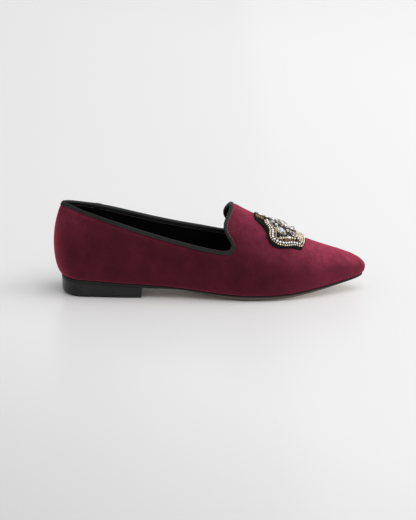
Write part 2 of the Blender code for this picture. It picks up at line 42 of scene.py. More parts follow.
outer, inner = -1.0, 1.0          # the outer side of a right shoe faces -Y, the inner side +Y
bothSides = (outer, inner)
rightAngle = np.pi / 2
rng = np.random.default_rng(7)

# the last: millimetres, x from the back of the heel; a station runs along one side from heel to toe tip
last = {
    "length": 262.0, "ballWidth": 79.0, "instepHeight": 76.0, "wall": 1.8,
    "margin": 8.0, "marginMost": 0.5,          # turned under: width, largest share of the way to the middle
    "heelAxis": 27.0, "heelArc": 42.0,         # middle of the heel's ellipse, stations round it
    "heelTuck": 7.2, "toeTuck": 3.2,           # how far the feather stays inside the back and the tip
    "toeStart": 240.0, "toeArc": 28.0,         # where the toe's curve starts, stations along it
    "toeApex": 247.0, "toeTipY": 1.5,          # end of the ridge, y of the tip
    "toeRound": 8.0, "toeHandle": 0.32,        # bluntness of the tip, length of the curve's first handle
    "bulge": 0.3,                              # height of the widest line: feather 0, ridge 1
    # the back is drawn in above the bulge: amount, last station, fade; less at the seam: share, reach
    "combPinch": 1.4, "combEnd": 70.0, "combFade": 2.5, "combRound": 0.45, "combTip": 9.0,
}
last["shift"] = last["heelArc"] - last["heelAxis"]
last["toeStation"] = last["toeStart"] + last["shift"]
last["end"] = last["toeStation"] + last["toeArc"]
planStep = 0.2          # for slopes along a plan line


def tableOf(names, rows):
    # a small table as columns by name
    return dict(zip(names.split(), np.array(rows, float).T))


# half widths as shares of half the ball width
widths = tableOf("x outerBulge innerBulge outerFeather innerFeather ridgeY", (
    (27, .690, .690, .580, .580, .000), (55, .742, .712, .633, .600, .010),
    (80, .765, .705, .650, .565, .025), (105, .815, .730, .690, .570, .045),
    (130, .902, .815, .780, .665, .060), (148, .970, .905, .860, .785, .065),
    (163, 1.000, .975, .900, .880, .065), (180, .982, 1.000, .892, .915, .063),
    (195, .915, .950, .830, .868, .060), (210, .795, .835, .715, .757, .055),
    (225, .630, .668, .560, .600, .048), (240, .435, .468, .375, .408, .040)))
# heights as shares of the instep height
heights = tableOf("x feather bulge ridge", (
    (0, .203, .540, 1.190), (27, .187, .475, 1.190), (55, .164, .435, 1.160),
    (80, .146, .395, 1.120), (105, .121, .342, 1.080), (130, .087, .290, 1.035),
    (148, .066, .262, .979), (163, .060, .243, .882), (180, .061, .230, .765),
    (195, .069, .224, .664), (210, .089, .222, .575), (225, .117, .228, .509),
    (240, .149, .243, .452), (247, .164, .252, .423), (262, .196, .262, .395)))
# collar edge in side view: along the topline to the throat's corner, then up the throat to the ridge
topline = tableOf("station outerZ innerZ", (
    (0, 75.8, 75.8), (20, 75.3, 75.6), (42, 71.3, 71.7), (69, 64.2, 64.4), (92, 57.0, 58.6),
    (119, 49.6, 52.4), (139, 45.0, 48.2), (150, 43.0, 45.6), (158, 42.2, 44.0),
    (162.8, 43.4, 44.4), (164.4, 46.4, 46.8)))
throat = tableOf("station outerZ innerZ", (
    (164.4, 46.4, 46.8), (163.0, 50.2, 50.4), (160.2, 54.4, 54.6), (158.2, 58.6, 58.6),
    (158.0, 62.4, 62.4), (159.4, 66.4, 66.4), (161.4, 69.8, 69.8), (162.9, 72.4, 72.4)))
throatTop = 163.4


def unit(vectors):
    # each vector over its own length
    return vectors / np.linalg.norm(vectors, axis=-1, keepdims=True)


def hump(distance, middle, width):
    # bell: e to the minus square of the distance from its middle, in widths
    return np.exp(-((distance - middle) / width) ** 2)


def hermite(knots, values, slopes, x):
    # cubic between the two knots round x, with the given slope at each
    i = np.clip(np.searchsorted(knots, x, side="right") - 1, 0, len(knots) - 2)
    step = knots[i + 1] - knots[i]
    t = (x - knots[i]) / step
    return (values[i] * (1 + 2 * t) * (1 - t) ** 2 + values[i + 1] * t * t * (3 - 2 * t)
            + step * (slopes[i] * t * (1 - t) ** 2 - slopes[i + 1] * t * t * (1 - t)))


def readTable(table, name, x):
    # monotone cubic through the rows: harmonic-mean slopes, level at the first row, flat past the ends
    knots, values = table["x"], table[name]
    step = np.diff(knots)
    slope = np.diff(values) / step
    rising = slope[:-1] * slope[1:] > 0
    a, b = (2 * step[1:] + step[:-1])[rising], (step[1:] + 2 * step[:-1])[rising]
    tangent = np.zeros(len(knots))
    tangent[1:-1][rising] = (a + b) / (a / slope[:-1][rising] + b / slope[1:][rising])
    tangent[-1] = slope[-1]
    return hermite(knots, values, tangent, np.clip(np.asarray(x, float), knots[0], knots[-1]))


def halfWidth(name, x):
    # share in the table times half the ball width
    return readTable(widths, name, x) * last["ballWidth"] / 2


def heightOf(name, x):
    # share in the table times the instep height
    return readTable(heights, name, x) * last["instepHeight"]


def spineX(station):
    # where a station's section meets the ridge: straight up, then drawn towards the toe's apex
    toe = np.clip((station - last["toeStation"]) / last["toeArc"], 0, 1)
    straight = np.clip(station - last["shift"], last["heelAxis"], last["toeStart"])
    return straight + (last["toeApex"] - last["toeStart"]) * (1 - (1 - toe) ** 2)


def planLine(side, station, line):
    # plan of the bulge or feather line: heel ellipse, then the width table, then a cubic toe
    station = np.asarray(station, float)
    name = ("outer" if side < 0 else "inner") + line
    back, front = (last["heelTuck"], last["toeTuck"]) if line == "Feather" else (0.0, 0.0)
    tipX = last["length"] - front
    x = np.clip(station - last["shift"], last["heelAxis"], last["toeStart"])
    y = side * halfWidth(name, x)
    heelPart = station < last["heelArc"]
    turn = rightAngle * (1 - station / last["heelArc"])
    x = np.where(heelPart, last["heelAxis"] - (last["heelAxis"] - back) * np.sin(turn), x)
    y = np.where(heelPart, y * np.cos(turn), y)
    start = halfWidth(name, last["toeStart"])
    taper = (start - halfWidth(name, last["toeStart"] - planStep)) / planStep
    handle = last["toeHandle"] * (tipX - last["toeStart"])
    knotsX = (last["toeStart"], last["toeStart"] + handle, tipX, tipX)
    knotsY = (side * start, side * (start + taper * handle),
              last["toeTipY"] + side * last["toeRound"], last["toeTipY"])
    t = np.clip((station - last["toeStation"]) / last["toeArc"], 0, 1)
    blend = ((1 - t) ** 3, 3 * t * (1 - t) ** 2, 3 * t * t * (1 - t), t ** 3)
    toePart = station > last["toeStation"]
    return [np.where(toePart, sum(b * k for b, k in zip(blend, knots)), before)
            for knots, before in ((knotsX, x), (knotsY, y))]


def insetLine(side, station, line, inset):
    # the plan line moved inwards, square to itself
    x, y = planLine(side, station, line)
    ahead, behind = (planLine(side, station + step, line) for step in (planStep, -planStep))
    tip = station >= last["end"]
    runX = np.where(tip, 0.0, ahead[0] - behind[0])
    runY = np.where(tip, -side, ahead[1] - behind[1])
    size = np.hypot(runX, runY)
    return x + inset * side * runY / size, y - inset * side * runX / size


def lastPoint(side, station, height, inset=0.0):
    # quarter ellipse from feather to bulge, then one from bulge to ridge; height 0 feather, 1 ridge
    # at the back the upper one is drawn in sideways with the square of its climb
    station, height = np.broadcast_arrays(np.asarray(station, float), np.asarray(height, float))
    bulgeX, bulgeY = insetLine(side, station, "Bulge", inset)
    featherX, featherY = insetLine(side, station, "Feather", inset)
    axisX = spineX(station)
    axisY = halfWidth("ridgeY", axisX)
    featherZ = heightOf("feather", featherX) + inset
    bulgeZ = heightOf("bulge", bulgeX)
    ridgeZ = heightOf("ridge", axisX) - inset
    rise = rightAngle * np.clip(height / last["bulge"], 0, 1)
    low = (featherX + (bulgeX - featherX) * np.sin(rise), featherY + (bulgeY - featherY) * np.sin(rise),
           featherZ + (bulgeZ - featherZ) * (1 - np.cos(rise)))
    climb = rightAngle * (height - last["bulge"]) / (1 - last["bulge"])
    close = np.cos(climb)
    closeX = np.where(station > last["toeStation"], close * close, close)
    comb = (1 - np.clip(station / last["combEnd"], 0, 1) ** last["combFade"]) ** 2
    comb = comb * (1 - last["combRound"] * hump(station, 0, last["combTip"]))
    closeY = close * (1 - last["combPinch"] * comb * np.sin(climb) ** 2)
    high = (axisX + (bulgeX - axisX) * closeX, axisY + (bulgeY - axisY) * closeY,
            bulgeZ + (ridgeZ - bulgeZ) * np.sin(climb))
    return np.stack([np.where(height < last["bulge"], a, b) for a, b in zip(low, high)], axis=-1)


def heightAtZ(side, station, z):
    # height at which the upper ellipse of a station passes z
    bulgeZ = heightOf("bulge", insetLine(side, station, "Bulge", 0.0)[0])
    ridgeZ = heightOf("ridge", spineX(station))
    climb = np.arcsin(np.clip((z - bulgeZ) / (ridgeZ - bulgeZ), 0, 1))
    return last["bulge"] + (1 - last["bulge"]) * climb / rightAngle


def lengthAlong(path):
    # running length of a path at each of its points
    return np.concatenate([[0], np.cumsum(np.linalg.norm(np.diff(path, axis=0), axis=1))])


def readAlong(spots, travelled, rows):
    # rows of numbers read at the given lengths along a path
    return np.stack([np.interp(spots, travelled, column) for column in rows.T], axis=-1)


def evenSteps(path, count):
    # the path cut into even steps of its own length
    travelled = lengthAlong(path)
    return readAlong(np.linspace(0, travelled[-1], count), travelled, path)


def curveThrough(points, count, fineness=60):
    # cubic through flat points, with mean slopes, cut into even steps of its own length
    points = np.array(points, float)
    along = lengthAlong(points)
    slopes = np.gradient(points, along, axis=0)
    fine = np.linspace(0, along[-1], fineness * len(points))
    curve = [hermite(along, points[:, k], slopes[:, k], fine) for k in range(2)]
    return evenSteps(np.stack(curve, axis=-1), count)


def collarRows(side, table):
    # (station, z) rows of one stretch of the collar
    return np.stack([table["station"], table["outerZ" if side < 0 else "innerZ"]], axis=-1)


def toplinePath(side, count):
    # stations and heights from the back seam to the throat's corner
    station, z = curveThrough(collarRows(side, topline), count).T
    return station, heightAtZ(side, station, z)


def throatPath(side, count):
    # stations and heights from the throat's corner up to the ridge
    top = (throatTop, float(heightOf("ridge", throatTop - last["shift"])))
    station, z = curveThrough(np.vstack([collarRows(side, throat), top]), count).T
    height = heightAtZ(side, station, z)
    height[-1] = 1.0
    return station, height


def collarEdge(side, toplineCount, throatCount):
    # stations and heights of both stretches, one after the other
    stretches = zip(toplinePath(side, toplineCount), throatPath(side, throatCount))
    return [np.concatenate([a, b[1:]]) for a, b in stretches]


# meshes
def place(points):
    # millimetres from the heel to metres about the middle of the shoe
    return (np.asarray(points, float) - (last["length"] / 2, 0, 0)) * mm


def gridQuads(rows, columns, start=0, closed=False):
    # quads between neighbouring points of a rows x columns grid; closed joins the last column to the first
    index = start + np.arange(rows * columns).reshape(rows, columns)
    if closed:
        index = np.concatenate([index, index[:, :1]], axis=1)
    corners = index[:-1, :-1], index[1:, :-1], index[1:, 1:], index[:-1, 1:]
    return np.stack(corners, axis=-1).reshape(-1, 4).tolist()


def addObject(name, data):
    # a new object in the scene
    made = bpy.data.objects.new(name, data)
    bpy.context.scene.collection.objects.link(made)
    return made


# metres within which points are welded, shortest edge that stays, angle from which an edge is sharp
weldReach, shortest, sharpAngle = 1.5e-6, 5e-7, math.radians(50)


class Shell:
    # gathers grids and copies of small shapes, welds them and makes one piece
    def __init__(self):
        self.points, self.faces, self.tones, self.values, self.count = [], [], [], {}, 0

    def add(self, points, **values):
        # points after those already there, each with its named values
        self.points.append(points)
        for name, value in values.items():
            self.values.setdefault(name, []).append(value)
        self.count += len(points)

    def grid(self, grid, closed=False, **values):
        # a rows x columns grid of points with a quad in each gap
        self.faces += gridQuads(*grid.shape[:2], self.count, closed)
        self.add(grid.reshape(-1, 3), **values)

    def copies(self, shape, origin, axes, sizes, tone):
        # copies of a small shape: origin plus each axis times the shape's own scaled numbers
        # sizes: one for all or one for each copy; tone: a number for each copy or for each of its faces
        corners, faces = shape
        number = len(origin)
        scaled = corners[None] * np.broadcast_to(sizes, (number, 3))[:, None]
        points = origin[:, None] + sum(scaled[..., k:k + 1] * axes[k][:, None] for k in range(3))
        offset = self.count + len(corners) * np.arange(number)
        tone = np.broadcast_to(tone if tone.ndim == 2 else tone[:, None], (number, len(faces)))
        for k, face in enumerate(faces):
            self.faces += (offset[:, None] + np.array(face)).tolist()
            self.tones.append(tone[:, k])
        self.add(points.reshape(-1, 3))

    def piece(self, name, material, slot, *replaced, smooth=True):
        # one welded mesh with its faces outwards, riding on the shoe
        mesh = bpy.data.meshes.new(name)
        mesh.from_pydata(place(np.concatenate(self.points)), [], self.faces)
        for key, value in self.values.items():
            mesh.attributes.new(key, "FLOAT", "POINT").data.foreach_set("value", np.concatenate(value))
        if self.tones:
            mesh.attributes.new("tone", "FLOAT", "FACE").data.foreach_set("value", np.concatenate(self.tones))
        work = bmesh.new()
        work.from_mesh(mesh)
        bmesh.ops.remove_doubles(work, verts=work.verts, dist=weldReach)
        bmesh.ops.dissolve_degenerate(work, edges=work.edges, dist=shortest)
        bmesh.ops.recalc_face_normals(work, faces=work.faces)
        if work.calc_volume(signed=True) < 0:
            bmesh.ops.reverse_faces(work, faces=work.faces)
        work.to_mesh(mesh)
        work.free()
        if smooth:
            mesh.shade_smooth()
            mesh.set_sharp_from_angle(angle=sharpAngle)
        else:
            mesh.shade_flat()
        mesh.materials.append(material)
        made = addObject(name, mesh)
        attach(made, "root")
        if replaced:
            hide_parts(*replaced)
        print(f"{name}: {len(mesh.polygons)} faces")


# nodes
def feed(tree, value, socket):
    # another node's output is linked to the socket, a number or colour is set on it
    if isinstance(value, bpy.types.NodeSocket):
        tree.links.new(value, socket)
    else:
        socket.default_value = value


def addNode(tree, kind, output, setup=None, **sockets):
    # one node with its settings; sockets go by name, with _ for a space
    node = tree.nodes.new("ShaderNode" + kind)
    for name, value in (setup or {}).items():
        setattr(node, name, value)
    for name, value in sockets.items():
        feed(tree, value, node.inputs[name.replace("_", " ")])
    return node.outputs[output]


def objectPlace(tree):
    # the point's place on the piece
    return addNode(tree, "TexCoord", "Object")


def attributeNode(tree, name):
    # one of the piece's own values
    return addNode(tree, "Attribute", "Fac", {"attribute_name": name})


def axisNode(tree, vector, axis):
    # one axis of a vector
    return addNode(tree, "SeparateXYZ", axis, Vector=vector)


def noiseNode(tree, scale, detail=2.0, rough=0.5):
    # cloudy value about a half, over the piece
    return addNode(tree, "TexNoise", "Fac", Vector=objectPlace(tree), Scale=scale, Detail=detail,
                   Roughness=rough)


def mathNode(tree, kind, *values):
    # one sum of arithmetic
    node = tree.nodes.new("ShaderNodeMath")
    node.operation = kind
    for socket, value in zip(node.inputs, values):
        feed(tree, value, socket)
    return node.outputs[0]


def weigh(tree, first, firstWeight, second, secondWeight):
    # first times its weight plus second times its weight
    parts = [mathNode(tree, "MULTIPLY", *part) for part in ((first, firstWeight), (second, secondWeight))]
    return mathNode(tree, "ADD", *parts)


def rangeNode(tree, value, low, high, toLow=0.0, toHigh=1.0, smooth=False):
    # low to high becomes toLow to toHigh, straight or S-shaped
    setup = {"interpolation_type": "SMOOTHSTEP" if smooth else "LINEAR"}
    return addNode(tree, "MapRange", "Result", setup, Value=value, From_Min=low, From_Max=high,
                   To_Min=toLow, To_Max=toHigh)


def scaleNode(tree, colour, gain):
    # colour times gain
    node = tree.nodes.new("ShaderNodeVectorMath")
    node.operation = "SCALE"
    feed(tree, colour, node.inputs[0])
    feed(tree, gain, node.inputs["Scale"])
    return node.outputs["Vector"]


def rampNode(tree, value, *stops):
    # colour by value, through stops of (place, (r, g, b))
    node = tree.nodes.new("ShaderNodeValToRGB")
    elements = node.color_ramp.elements
    while len(elements) < len(stops):
        elements.new(0.5)
    for element, (spot, colour) in zip(elements, stops):
        element.position = spot
        element.color = (*colour, 1.0)
    feed(tree, value, node.inputs["Fac"])
    return node.outputs["Color"]


def addBump(tree, inputs, height, look):
    # fine relief on the shader's normal
    normal = addNode(tree, "Bump", "Normal", Distance=look["bump"], Strength=look["bumpStrength"],
                     Height=height)
    feed(tree, normal, inputs["Normal"])


def newGroup(name, inputs, outputs):
    # an empty node group with numbers in and out
    tree = bpy.data.node_groups.new(name, "ShaderNodeTree")
    for label, value in inputs.items():
        socket = tree.interface.new_socket(label, in_out="INPUT", socket_type="NodeSocketFloat")
        socket.default_value = value
    for label in outputs:
        tree.interface.new_socket(label, in_out="OUTPUT", socket_type="NodeSocketFloat")
    return tree, tree.nodes.new("NodeGroupInput").outputs, tree.nodes.new("NodeGroupOutput").inputs


def placeGroup(tree, group, **values):
    # a group with this material's values; gives its outputs
    node = tree.nodes.new("ShaderNodeGroup")
    node.node_tree = group
    for label, value in values.items():
        node.inputs[label.replace("_", " ")].default_value = value
    return node.outputs


# a look's words for the shader's own sockets
socketNames = {
    "roughness": "Roughness", "specular": "Specular IOR Level", "metallic": "Metallic",
    "sheen": "Sheen Weight", "sheenRough": "Sheen Roughness", "sheenTint": "Sheen Tint",
    "coat": "Coat Weight", "coatRough": "Coat Roughness", "glow": "Emission Strength",
}


def newMaterial(look):
    # a material with the look's constants on its shader's own sockets; gives those sockets
    material = bpy.data.materials.new(look["name"])
    material.use_nodes = True
    inputs = material.node_tree.nodes["Principled BSDF"].inputs
    for word, label in socketNames.items():
        if word in look:
            inputs[label].default_value = look[word]
    return material, material.node_tree, inputs


# shared effects: shares of their patterns, spread of noise that counts as dark to light
napMix = {"tuftScale": 0.22, "patchShare": 0.72, "tuftShare": 0.28, "spread": (0.34, 0.66),
          "tuftHeight": 0.7}
grainMix = {"pores": 0.6, "spread": (0.3, 0.7)}
toneMix = {"cloud": 0.3, "darkAt": 0.1, "lightAt": 0.9}


def makeNapGroup():
    # brushed cloth: Mottle is broad patches and tufts, Height is short fibre and tufts
    tree, given, result = newGroup("clothNap", {"Patch Scale": 60.0, "Fibre Scale": 2200.0},
                                   ("Mottle", "Height"))
    patch = noiseNode(tree, given["Patch Scale"], detail=3.0, rough=0.55)
    fibre = noiseNode(tree, given["Fibre Scale"], detail=2.0, rough=0.6)
    tuft = noiseNode(tree, mathNode(tree, "MULTIPLY", given["Fibre Scale"], napMix["tuftScale"]))
    mottle = weigh(tree, patch, napMix["patchShare"], tuft, napMix["tuftShare"])
    feed(tree, rangeNode(tree, mottle, *napMix["spread"]), result["Mottle"])
    feed(tree, weigh(tree, fibre, 1.0, tuft, napMix["tuftHeight"]), result["Height"])
    return tree


def makeGrainGroup():
    # hide or moulded face: Shade is cloudy colour, Height is pores and pebbles
    tree, given, result = newGroup("fineGrain", {"Grain Scale": 900.0, "Cloud Scale": 40.0},
                                   ("Shade", "Height"))
    pores = addNode(tree, "TexVoronoi", "Distance", Vector=objectPlace(tree), Scale=given["Grain Scale"])
    fine = noiseNode(tree, given["Grain Scale"], detail=3.0, rough=0.6)
    cloud = noiseNode(tree, given["Cloud Scale"], detail=4.0, rough=0.6)
    feed(tree, rangeNode(tree, cloud, *grainMix["spread"]), result["Shade"])
    feed(tree, weigh(tree, pores, grainMix["pores"], fine, 1.0), result["Height"])
    return tree


def makeToneGroup():
    # each bead or facet carries its own tone; a little cloud is added inside it
    tree, given, result = newGroup("beadTone", {"Cloud Scale": 1500.0}, ("Tone",))
    cloud = mathNode(tree, "SUBTRACT", noiseNode(tree, given["Cloud Scale"]), 0.5)
    feed(tree, weigh(tree, attributeNode(tree, "tone"), 1.0, cloud, toneMix["cloud"]), result["Tone"])
    return tree


napGroup, grainGroup, toneGroup = makeNapGroup(), makeGrainGroup(), makeToneGroup()


def paintedVelvetHighlight(tree, colour, look):
    # painted highlight: colour times 1 + brush up (a + b toe) + c toe, paler where the velvet faces up, as if
    # lit from above, and towards the toe; up rises smoothly with the normal's z, toe with x
    up = axisNode(tree, addNode(tree, "NewGeometry", "Normal"), "Z")
    up = rangeNode(tree, up, *look["highlightUp"], smooth=True)
    toe = rangeNode(tree, axisNode(tree, objectPlace(tree), "X"), *look["highlightToe"], smooth=True)
    a, b, c = look["highlightGain"]
    brush = rangeNode(tree, noiseNode(tree, look["brush"], detail=3.0, rough=0.6), *look["brushRange"])
    lifted = mathNode(tree, "MULTIPLY", up, mathNode(tree, "ADD", mathNode(tree, "MULTIPLY", toe, b), a))
    gain = weigh(tree, mathNode(tree, "MULTIPLY", lifted, brush), 1.0, toe, c)
    return scaleNode(tree, colour, mathNode(tree, "ADD", gain, 1.0))


def clothMaterial(look, ribPitch=None):
    # napped cloth: mottled colour, fibre bump, sheen, and on velvet a painted highlight; ribs are a cosine of
    # the length along the piece
    material, tree, inputs = newMaterial(look)
    cloth = placeGroup(tree, napGroup, Patch_Scale=look["patch"], Fibre_Scale=look["fibre"])
    shade = cloth["Mottle"]
    if ribPitch:
        turn = mathNode(tree, "MULTIPLY", attributeNode(tree, "along"), 2 * math.pi / ribPitch)
        rib = rangeNode(tree, mathNode(tree, "COSINE", turn), -1.0, 1.0)
        shade = weigh(tree, rib, look["ribShare"], shade, look["mottleShare"])
    colour = rampNode(tree, shade, (0.0, look["dark"]), (1.0, look["light"]))
    # velvet only: the painted highlight
    if "highlightUp" in look:
        colour = paintedVelvetHighlight(tree, colour, look)
    feed(tree, colour, inputs["Base Color"])
    addBump(tree, inputs, cloth["Height"], look)
    return material


def beadMaterial(look):
    # glass, metal or thread: colour and gloss by the tone of each bead or facet; facet tones are painted
    # glints, stitch tones painted light
    material, tree, inputs = newMaterial(look)
    tone = placeGroup(tree, toneGroup)["Tone"]
    colour = rampNode(tree, tone, (toneMix["darkAt"], look["dark"]), (toneMix["lightAt"], look["light"]))
    feed(tree, colour, inputs["Base Color"])
    feed(tree, rangeNode(tree, tone, 0.0, 1.0, look["roughest"], look["smoothest"]), inputs["Roughness"])
    return material


def grainMaterial(look):
    # hide or lacquer: cloudy colour and gloss, grain bump; paint covers it by the piece's own edge mask
    material, tree, inputs = newMaterial(look)
    grain = placeGroup(tree, grainGroup, Grain_Scale=look["grain"], Cloud_Scale=look["cloud"])
    colour = rampNode(tree, grain["Shade"], (0.0, look["dark"]), (1.0, look["light"]))
    if "edge" in look:
        mask = attributeNode(tree, "edgeMask")
        colours = look["light"], look["turn"], look["turn"], look["edge"]
        paint = rampNode(tree, mask, *zip(look["edgeStops"], colours))
        cover = rangeNode(tree, mask, *look["cover"])
        colour = addNode(tree, "Mix", "Result", {"data_type": "RGBA"}, Factor=cover, A=colour, B=paint)
    feed(tree, colour, inputs["Base Color"])
    rough = rangeNode(tree, grain["Shade"], 0.0, 1.0, look["smoothest"], look["roughest"])
    feed(tree, rough, inputs["Roughness"])
    addBump(tree, inputs, grain["Height"], look)
    return material


# velvet upper and its lining
velvet = {
    "columns": 170, "vampColumns": 120, "rows": 44, "throatRows": 32, "crowding": 0.11, "vampSpread": 1.25,
    "thickness": 0.9, "edgeSteps": (260, 90),
    # soft roll and trough beside the ribbon: place from the edge, width, height
    "roll": (6.4, 2.4, 0.20), "seam": (3.4, 0.7, -0.22),
    # puckers along the ribbon and gathers round the toe, both uneven by a slow sway
    "pucker": {"pitch": 6.8, "depth": 0.10, "fade": 7.0, "sway": 1.7, "swayLength": 11.0},
    "toeGather": {"from": 236.0, "runIn": 12.0, "pitch": 3.4, "depth": 0.16, "rise": 4.0, "plain": 0.8,
                  "swayLength": 5.0},
    # creases, listed: side, start and end (x, z), depth, width
    "creases": (
        (outer, (157, 38), (178, 22), 0.42, 4.6), (outer, (150, 36), (158, 14), 0.30, 5.0),
        (outer, (196, 30), (214, 21), 0.24, 4.4), (outer, (96, 46), (104, 18), 0.26, 7.0),
        (outer, (52, 58), (58, 20), 0.30, 6.0), (outer, (226, 31), (221, 14), 0.26, 4.0),
        (inner, (158, 38), (180, 22), 0.42, 4.6), (inner, (120, 44), (132, 16), 0.34, 6.0),
        (inner, (84, 50), (90, 18), 0.28, 7.0), (inner, (52, 58), (58, 20), 0.30, 6.0),
        (inner, (198, 30), (214, 20), 0.26, 4.4)),
    # swell beside a crease: share of its depth, how many widths away
    "creaseSwell": (0.45, 1.8),
    # both sides read the same at the back seam; the relief fades before the toe tip and under the ridge
    "backReach": 3.0, "tipFade": 14.0, "ridgeFade": 0.06,
    "look": {
        "name": "burgundyVelvet", "dark": (0.0335, 0.0046, 0.0089), "light": (0.0550, 0.0075, 0.0146),
        "patch": 70.0, "fibre": 2400.0, "roughness": 0.95, "specular": 0.04,
        "sheen": 0.66, "sheenRough": 0.5, "sheenTint": (1.0, 0.14, 0.26, 1.0),
        "bump": 0.00035, "bumpStrength": 0.55,
        # painted highlight: paler where it faces up, as if lit from above, more so at the toe: start, end;
        # strengths of up, up at toe, toe
        "highlightUp": (0.15, 0.95), "highlightToe": (0.035, 0.115), "highlightGain": (1.35, 1.35, 0.85),
        # brush marks in that painted highlight: scale; noise from and to, weakest, strongest
        "brush": 210.0, "brushRange": (0.3, 0.7, 0.55, 1.45),
    },
}
lining = {
    "columns": 84, "vampColumns": 60, "rows": 22, "throatRows": 16, "crowding": 0.0, "gap": 0.02,
    "look": {
        "name": "blackLining", "dark": (0.0012, 0.0012, 0.0014), "light": (0.0026, 0.0026, 0.0030),
        "patch": 90.0, "fibre": 1600.0, "roughness": 0.9, "specular": 0.05,
        "sheen": 0.01, "sheenRough": 0.5, "bump": 0.0002, "bumpStrength": 0.5,
    },
}


def crowdEnds(count, amount):
    # even shares from 0 to 1, less a sine of one turn: closer together at both ends
    share = np.linspace(0, 1, count)
    return share - amount * np.sin(2 * np.pi * share)


def wallGrids(side, counts):
    # quarter: straight rows from feather to topline; vamp: blend from the throat's edge to the toe tip
    share = crowdEnds(counts["rows"] + 1, counts["crowding"])
    station, top = toplinePath(side, counts["columns"] + 1)
    quarter = np.repeat(station[:, None], len(share), axis=1), top[:, None] * share
    throatStation, throatHeight = throatPath(side, counts["throatRows"] + 1)
    leftStation = np.concatenate([np.full(len(share), station[-1]), throatStation[1:]])
    leftHeight = np.concatenate([top[-1] * share, throatHeight[1:]])
    flat = np.linspace(0, 1, len(leftHeight))
    forward = 1 - (1 - np.linspace(0, 1, counts["vampColumns"] + 1)[:, None]) ** velvet["vampSpread"]
    vamp = leftStation + (last["end"] - leftStation) * forward, leftHeight + (flat - leftHeight) * forward
    return quarter, vamp


def marginRow(side, station, inset):
    # inner rim of the turned-under margin: the feather line drawn to the middle by its width or largest share
    x, y = insetLine(side, station, "Feather", inset)
    axisX = spineX(station)
    axisY = halfWidth("ridgeY", axisX)
    keep = 1 - np.minimum(last["margin"] / np.hypot(x - axisX, y - axisY), last["marginMost"])
    x, y = axisX + (x - axisX) * keep, axisY + (y - axisY) * keep
    return np.stack([x, y, heightOf("feather", x) + inset], axis=-1)


def nearest(points, path):
    # distance from each point to a path, and the length along the path there
    flat = points.reshape(-1, 3)
    square = (flat ** 2).sum(1)[:, None] + (path ** 2).sum(1)[None] - 2 * flat @ path.T
    which = square.argmin(1)
    gap = np.sqrt(np.maximum(square[np.arange(len(flat)), which], 0))
    return gap.reshape(points.shape[:-1]), lengthAlong(path)[which].reshape(points.shape[:-1])


def velvetRelief(side, station, height):
    # lift of the velvet off the last: roll, seam trough, puckers, toe gathers and creases,
    # as bells of the distance from a line and sines of the length along it
    base = lastPoint(side, station, height)
    edge = lastPoint(side, *collarEdge(side, *velvet["edgeSteps"]))
    gap, along = nearest(base, edge)
    atBack = hump(station, 0.0, velvet["backReach"])
    gap = gap + (np.linalg.norm(base - edge[0], axis=-1) - gap) * atBack
    along = along * (1 - atBack)
    lift = sum(rise * hump(gap, middle, width) for middle, width, rise in (velvet["roll"], velvet["seam"]))
    pucker = velvet["pucker"]
    sway = pucker["sway"] * np.sin(along / pucker["swayLength"])
    wave = np.sin(2 * np.pi * along / pucker["pitch"] + sway)
    lift = lift + pucker["depth"] * wave * hump(gap, 0, pucker["fade"])
    gather = velvet["toeGather"]
    rise = base[..., 2] - heightOf("feather", base[..., 0])
    front = np.clip((station - last["shift"] - gather["from"]) / gather["runIn"], 0, 1)
    fold = np.sin(2 * np.pi * station / gather["pitch"] + np.sin(station / gather["swayLength"]))
    low = hump(rise, 0, gather["rise"]) * np.clip(rise / gather["plain"], 0, 1)
    lift = lift + gather["depth"] * fold * front * low
    flat = base[..., (0, 2)]
    swellShare, swellAway = velvet["creaseSwell"]
    for where, start, end, depth, width in velvet["creases"]:
        if where == side:
            run = np.subtract(end, start)
            t = ((flat - start) @ run) / (run @ run)
            away = np.linalg.norm(flat - start - np.clip(t, 0, 1)[..., None] * run, axis=-1)
            taper = np.clip(1 - np.abs(2 * t - 1) ** 3, 0, 1)
            beside = swellShare * hump(away, swellAway * width, width)
            lift = lift + depth * taper * (beside - hump(away, 0, width))
    tip = np.clip((last["end"] - station) / velvet["tipFade"], 0, 1)
    ridge = np.clip((1 - height) / velvet["ridgeFade"], 0, 1)
    return lift * tip * ridge


def makeWall(name, counts, insets, relief, slot, *replaced):
    # closed wall: outer face lifted by the relief, inner face, margin, rims at collar and margin
    shell = Shell()
    corner = counts["rows"] + 1
    for side in bothSides:
        for zone, (station, height) in zip(("quarter", "vamp"), wallGrids(side, counts)):
            lifts = relief(side, station, height) if relief else 0.0, 0.0
            faces = []
            for inset, lift in zip(insets, lifts):
                wall = lastPoint(side, station, height, inset - lift)
                faces.append(np.concatenate([marginRow(side, station[:, 0], inset)[:, None], wall], axis=1))
                shell.grid(faces[-1])
            shell.grid(np.stack([face[:, 0] for face in faces]))
            shell.grid(np.stack([face[:, -1] if zone == "quarter" else face[0, corner:] for face in faces]))
    shell.piece(name, clothMaterial(counts["look"]), slot, *replaced)


makeWall("velvetUpper", velvet, (0.0, velvet["thickness"]), velvetRelief, "velvet", "upper")
makeWall("upperLining", lining, (velvet["thickness"] + lining["gap"], last["wall"]), None, "sock")

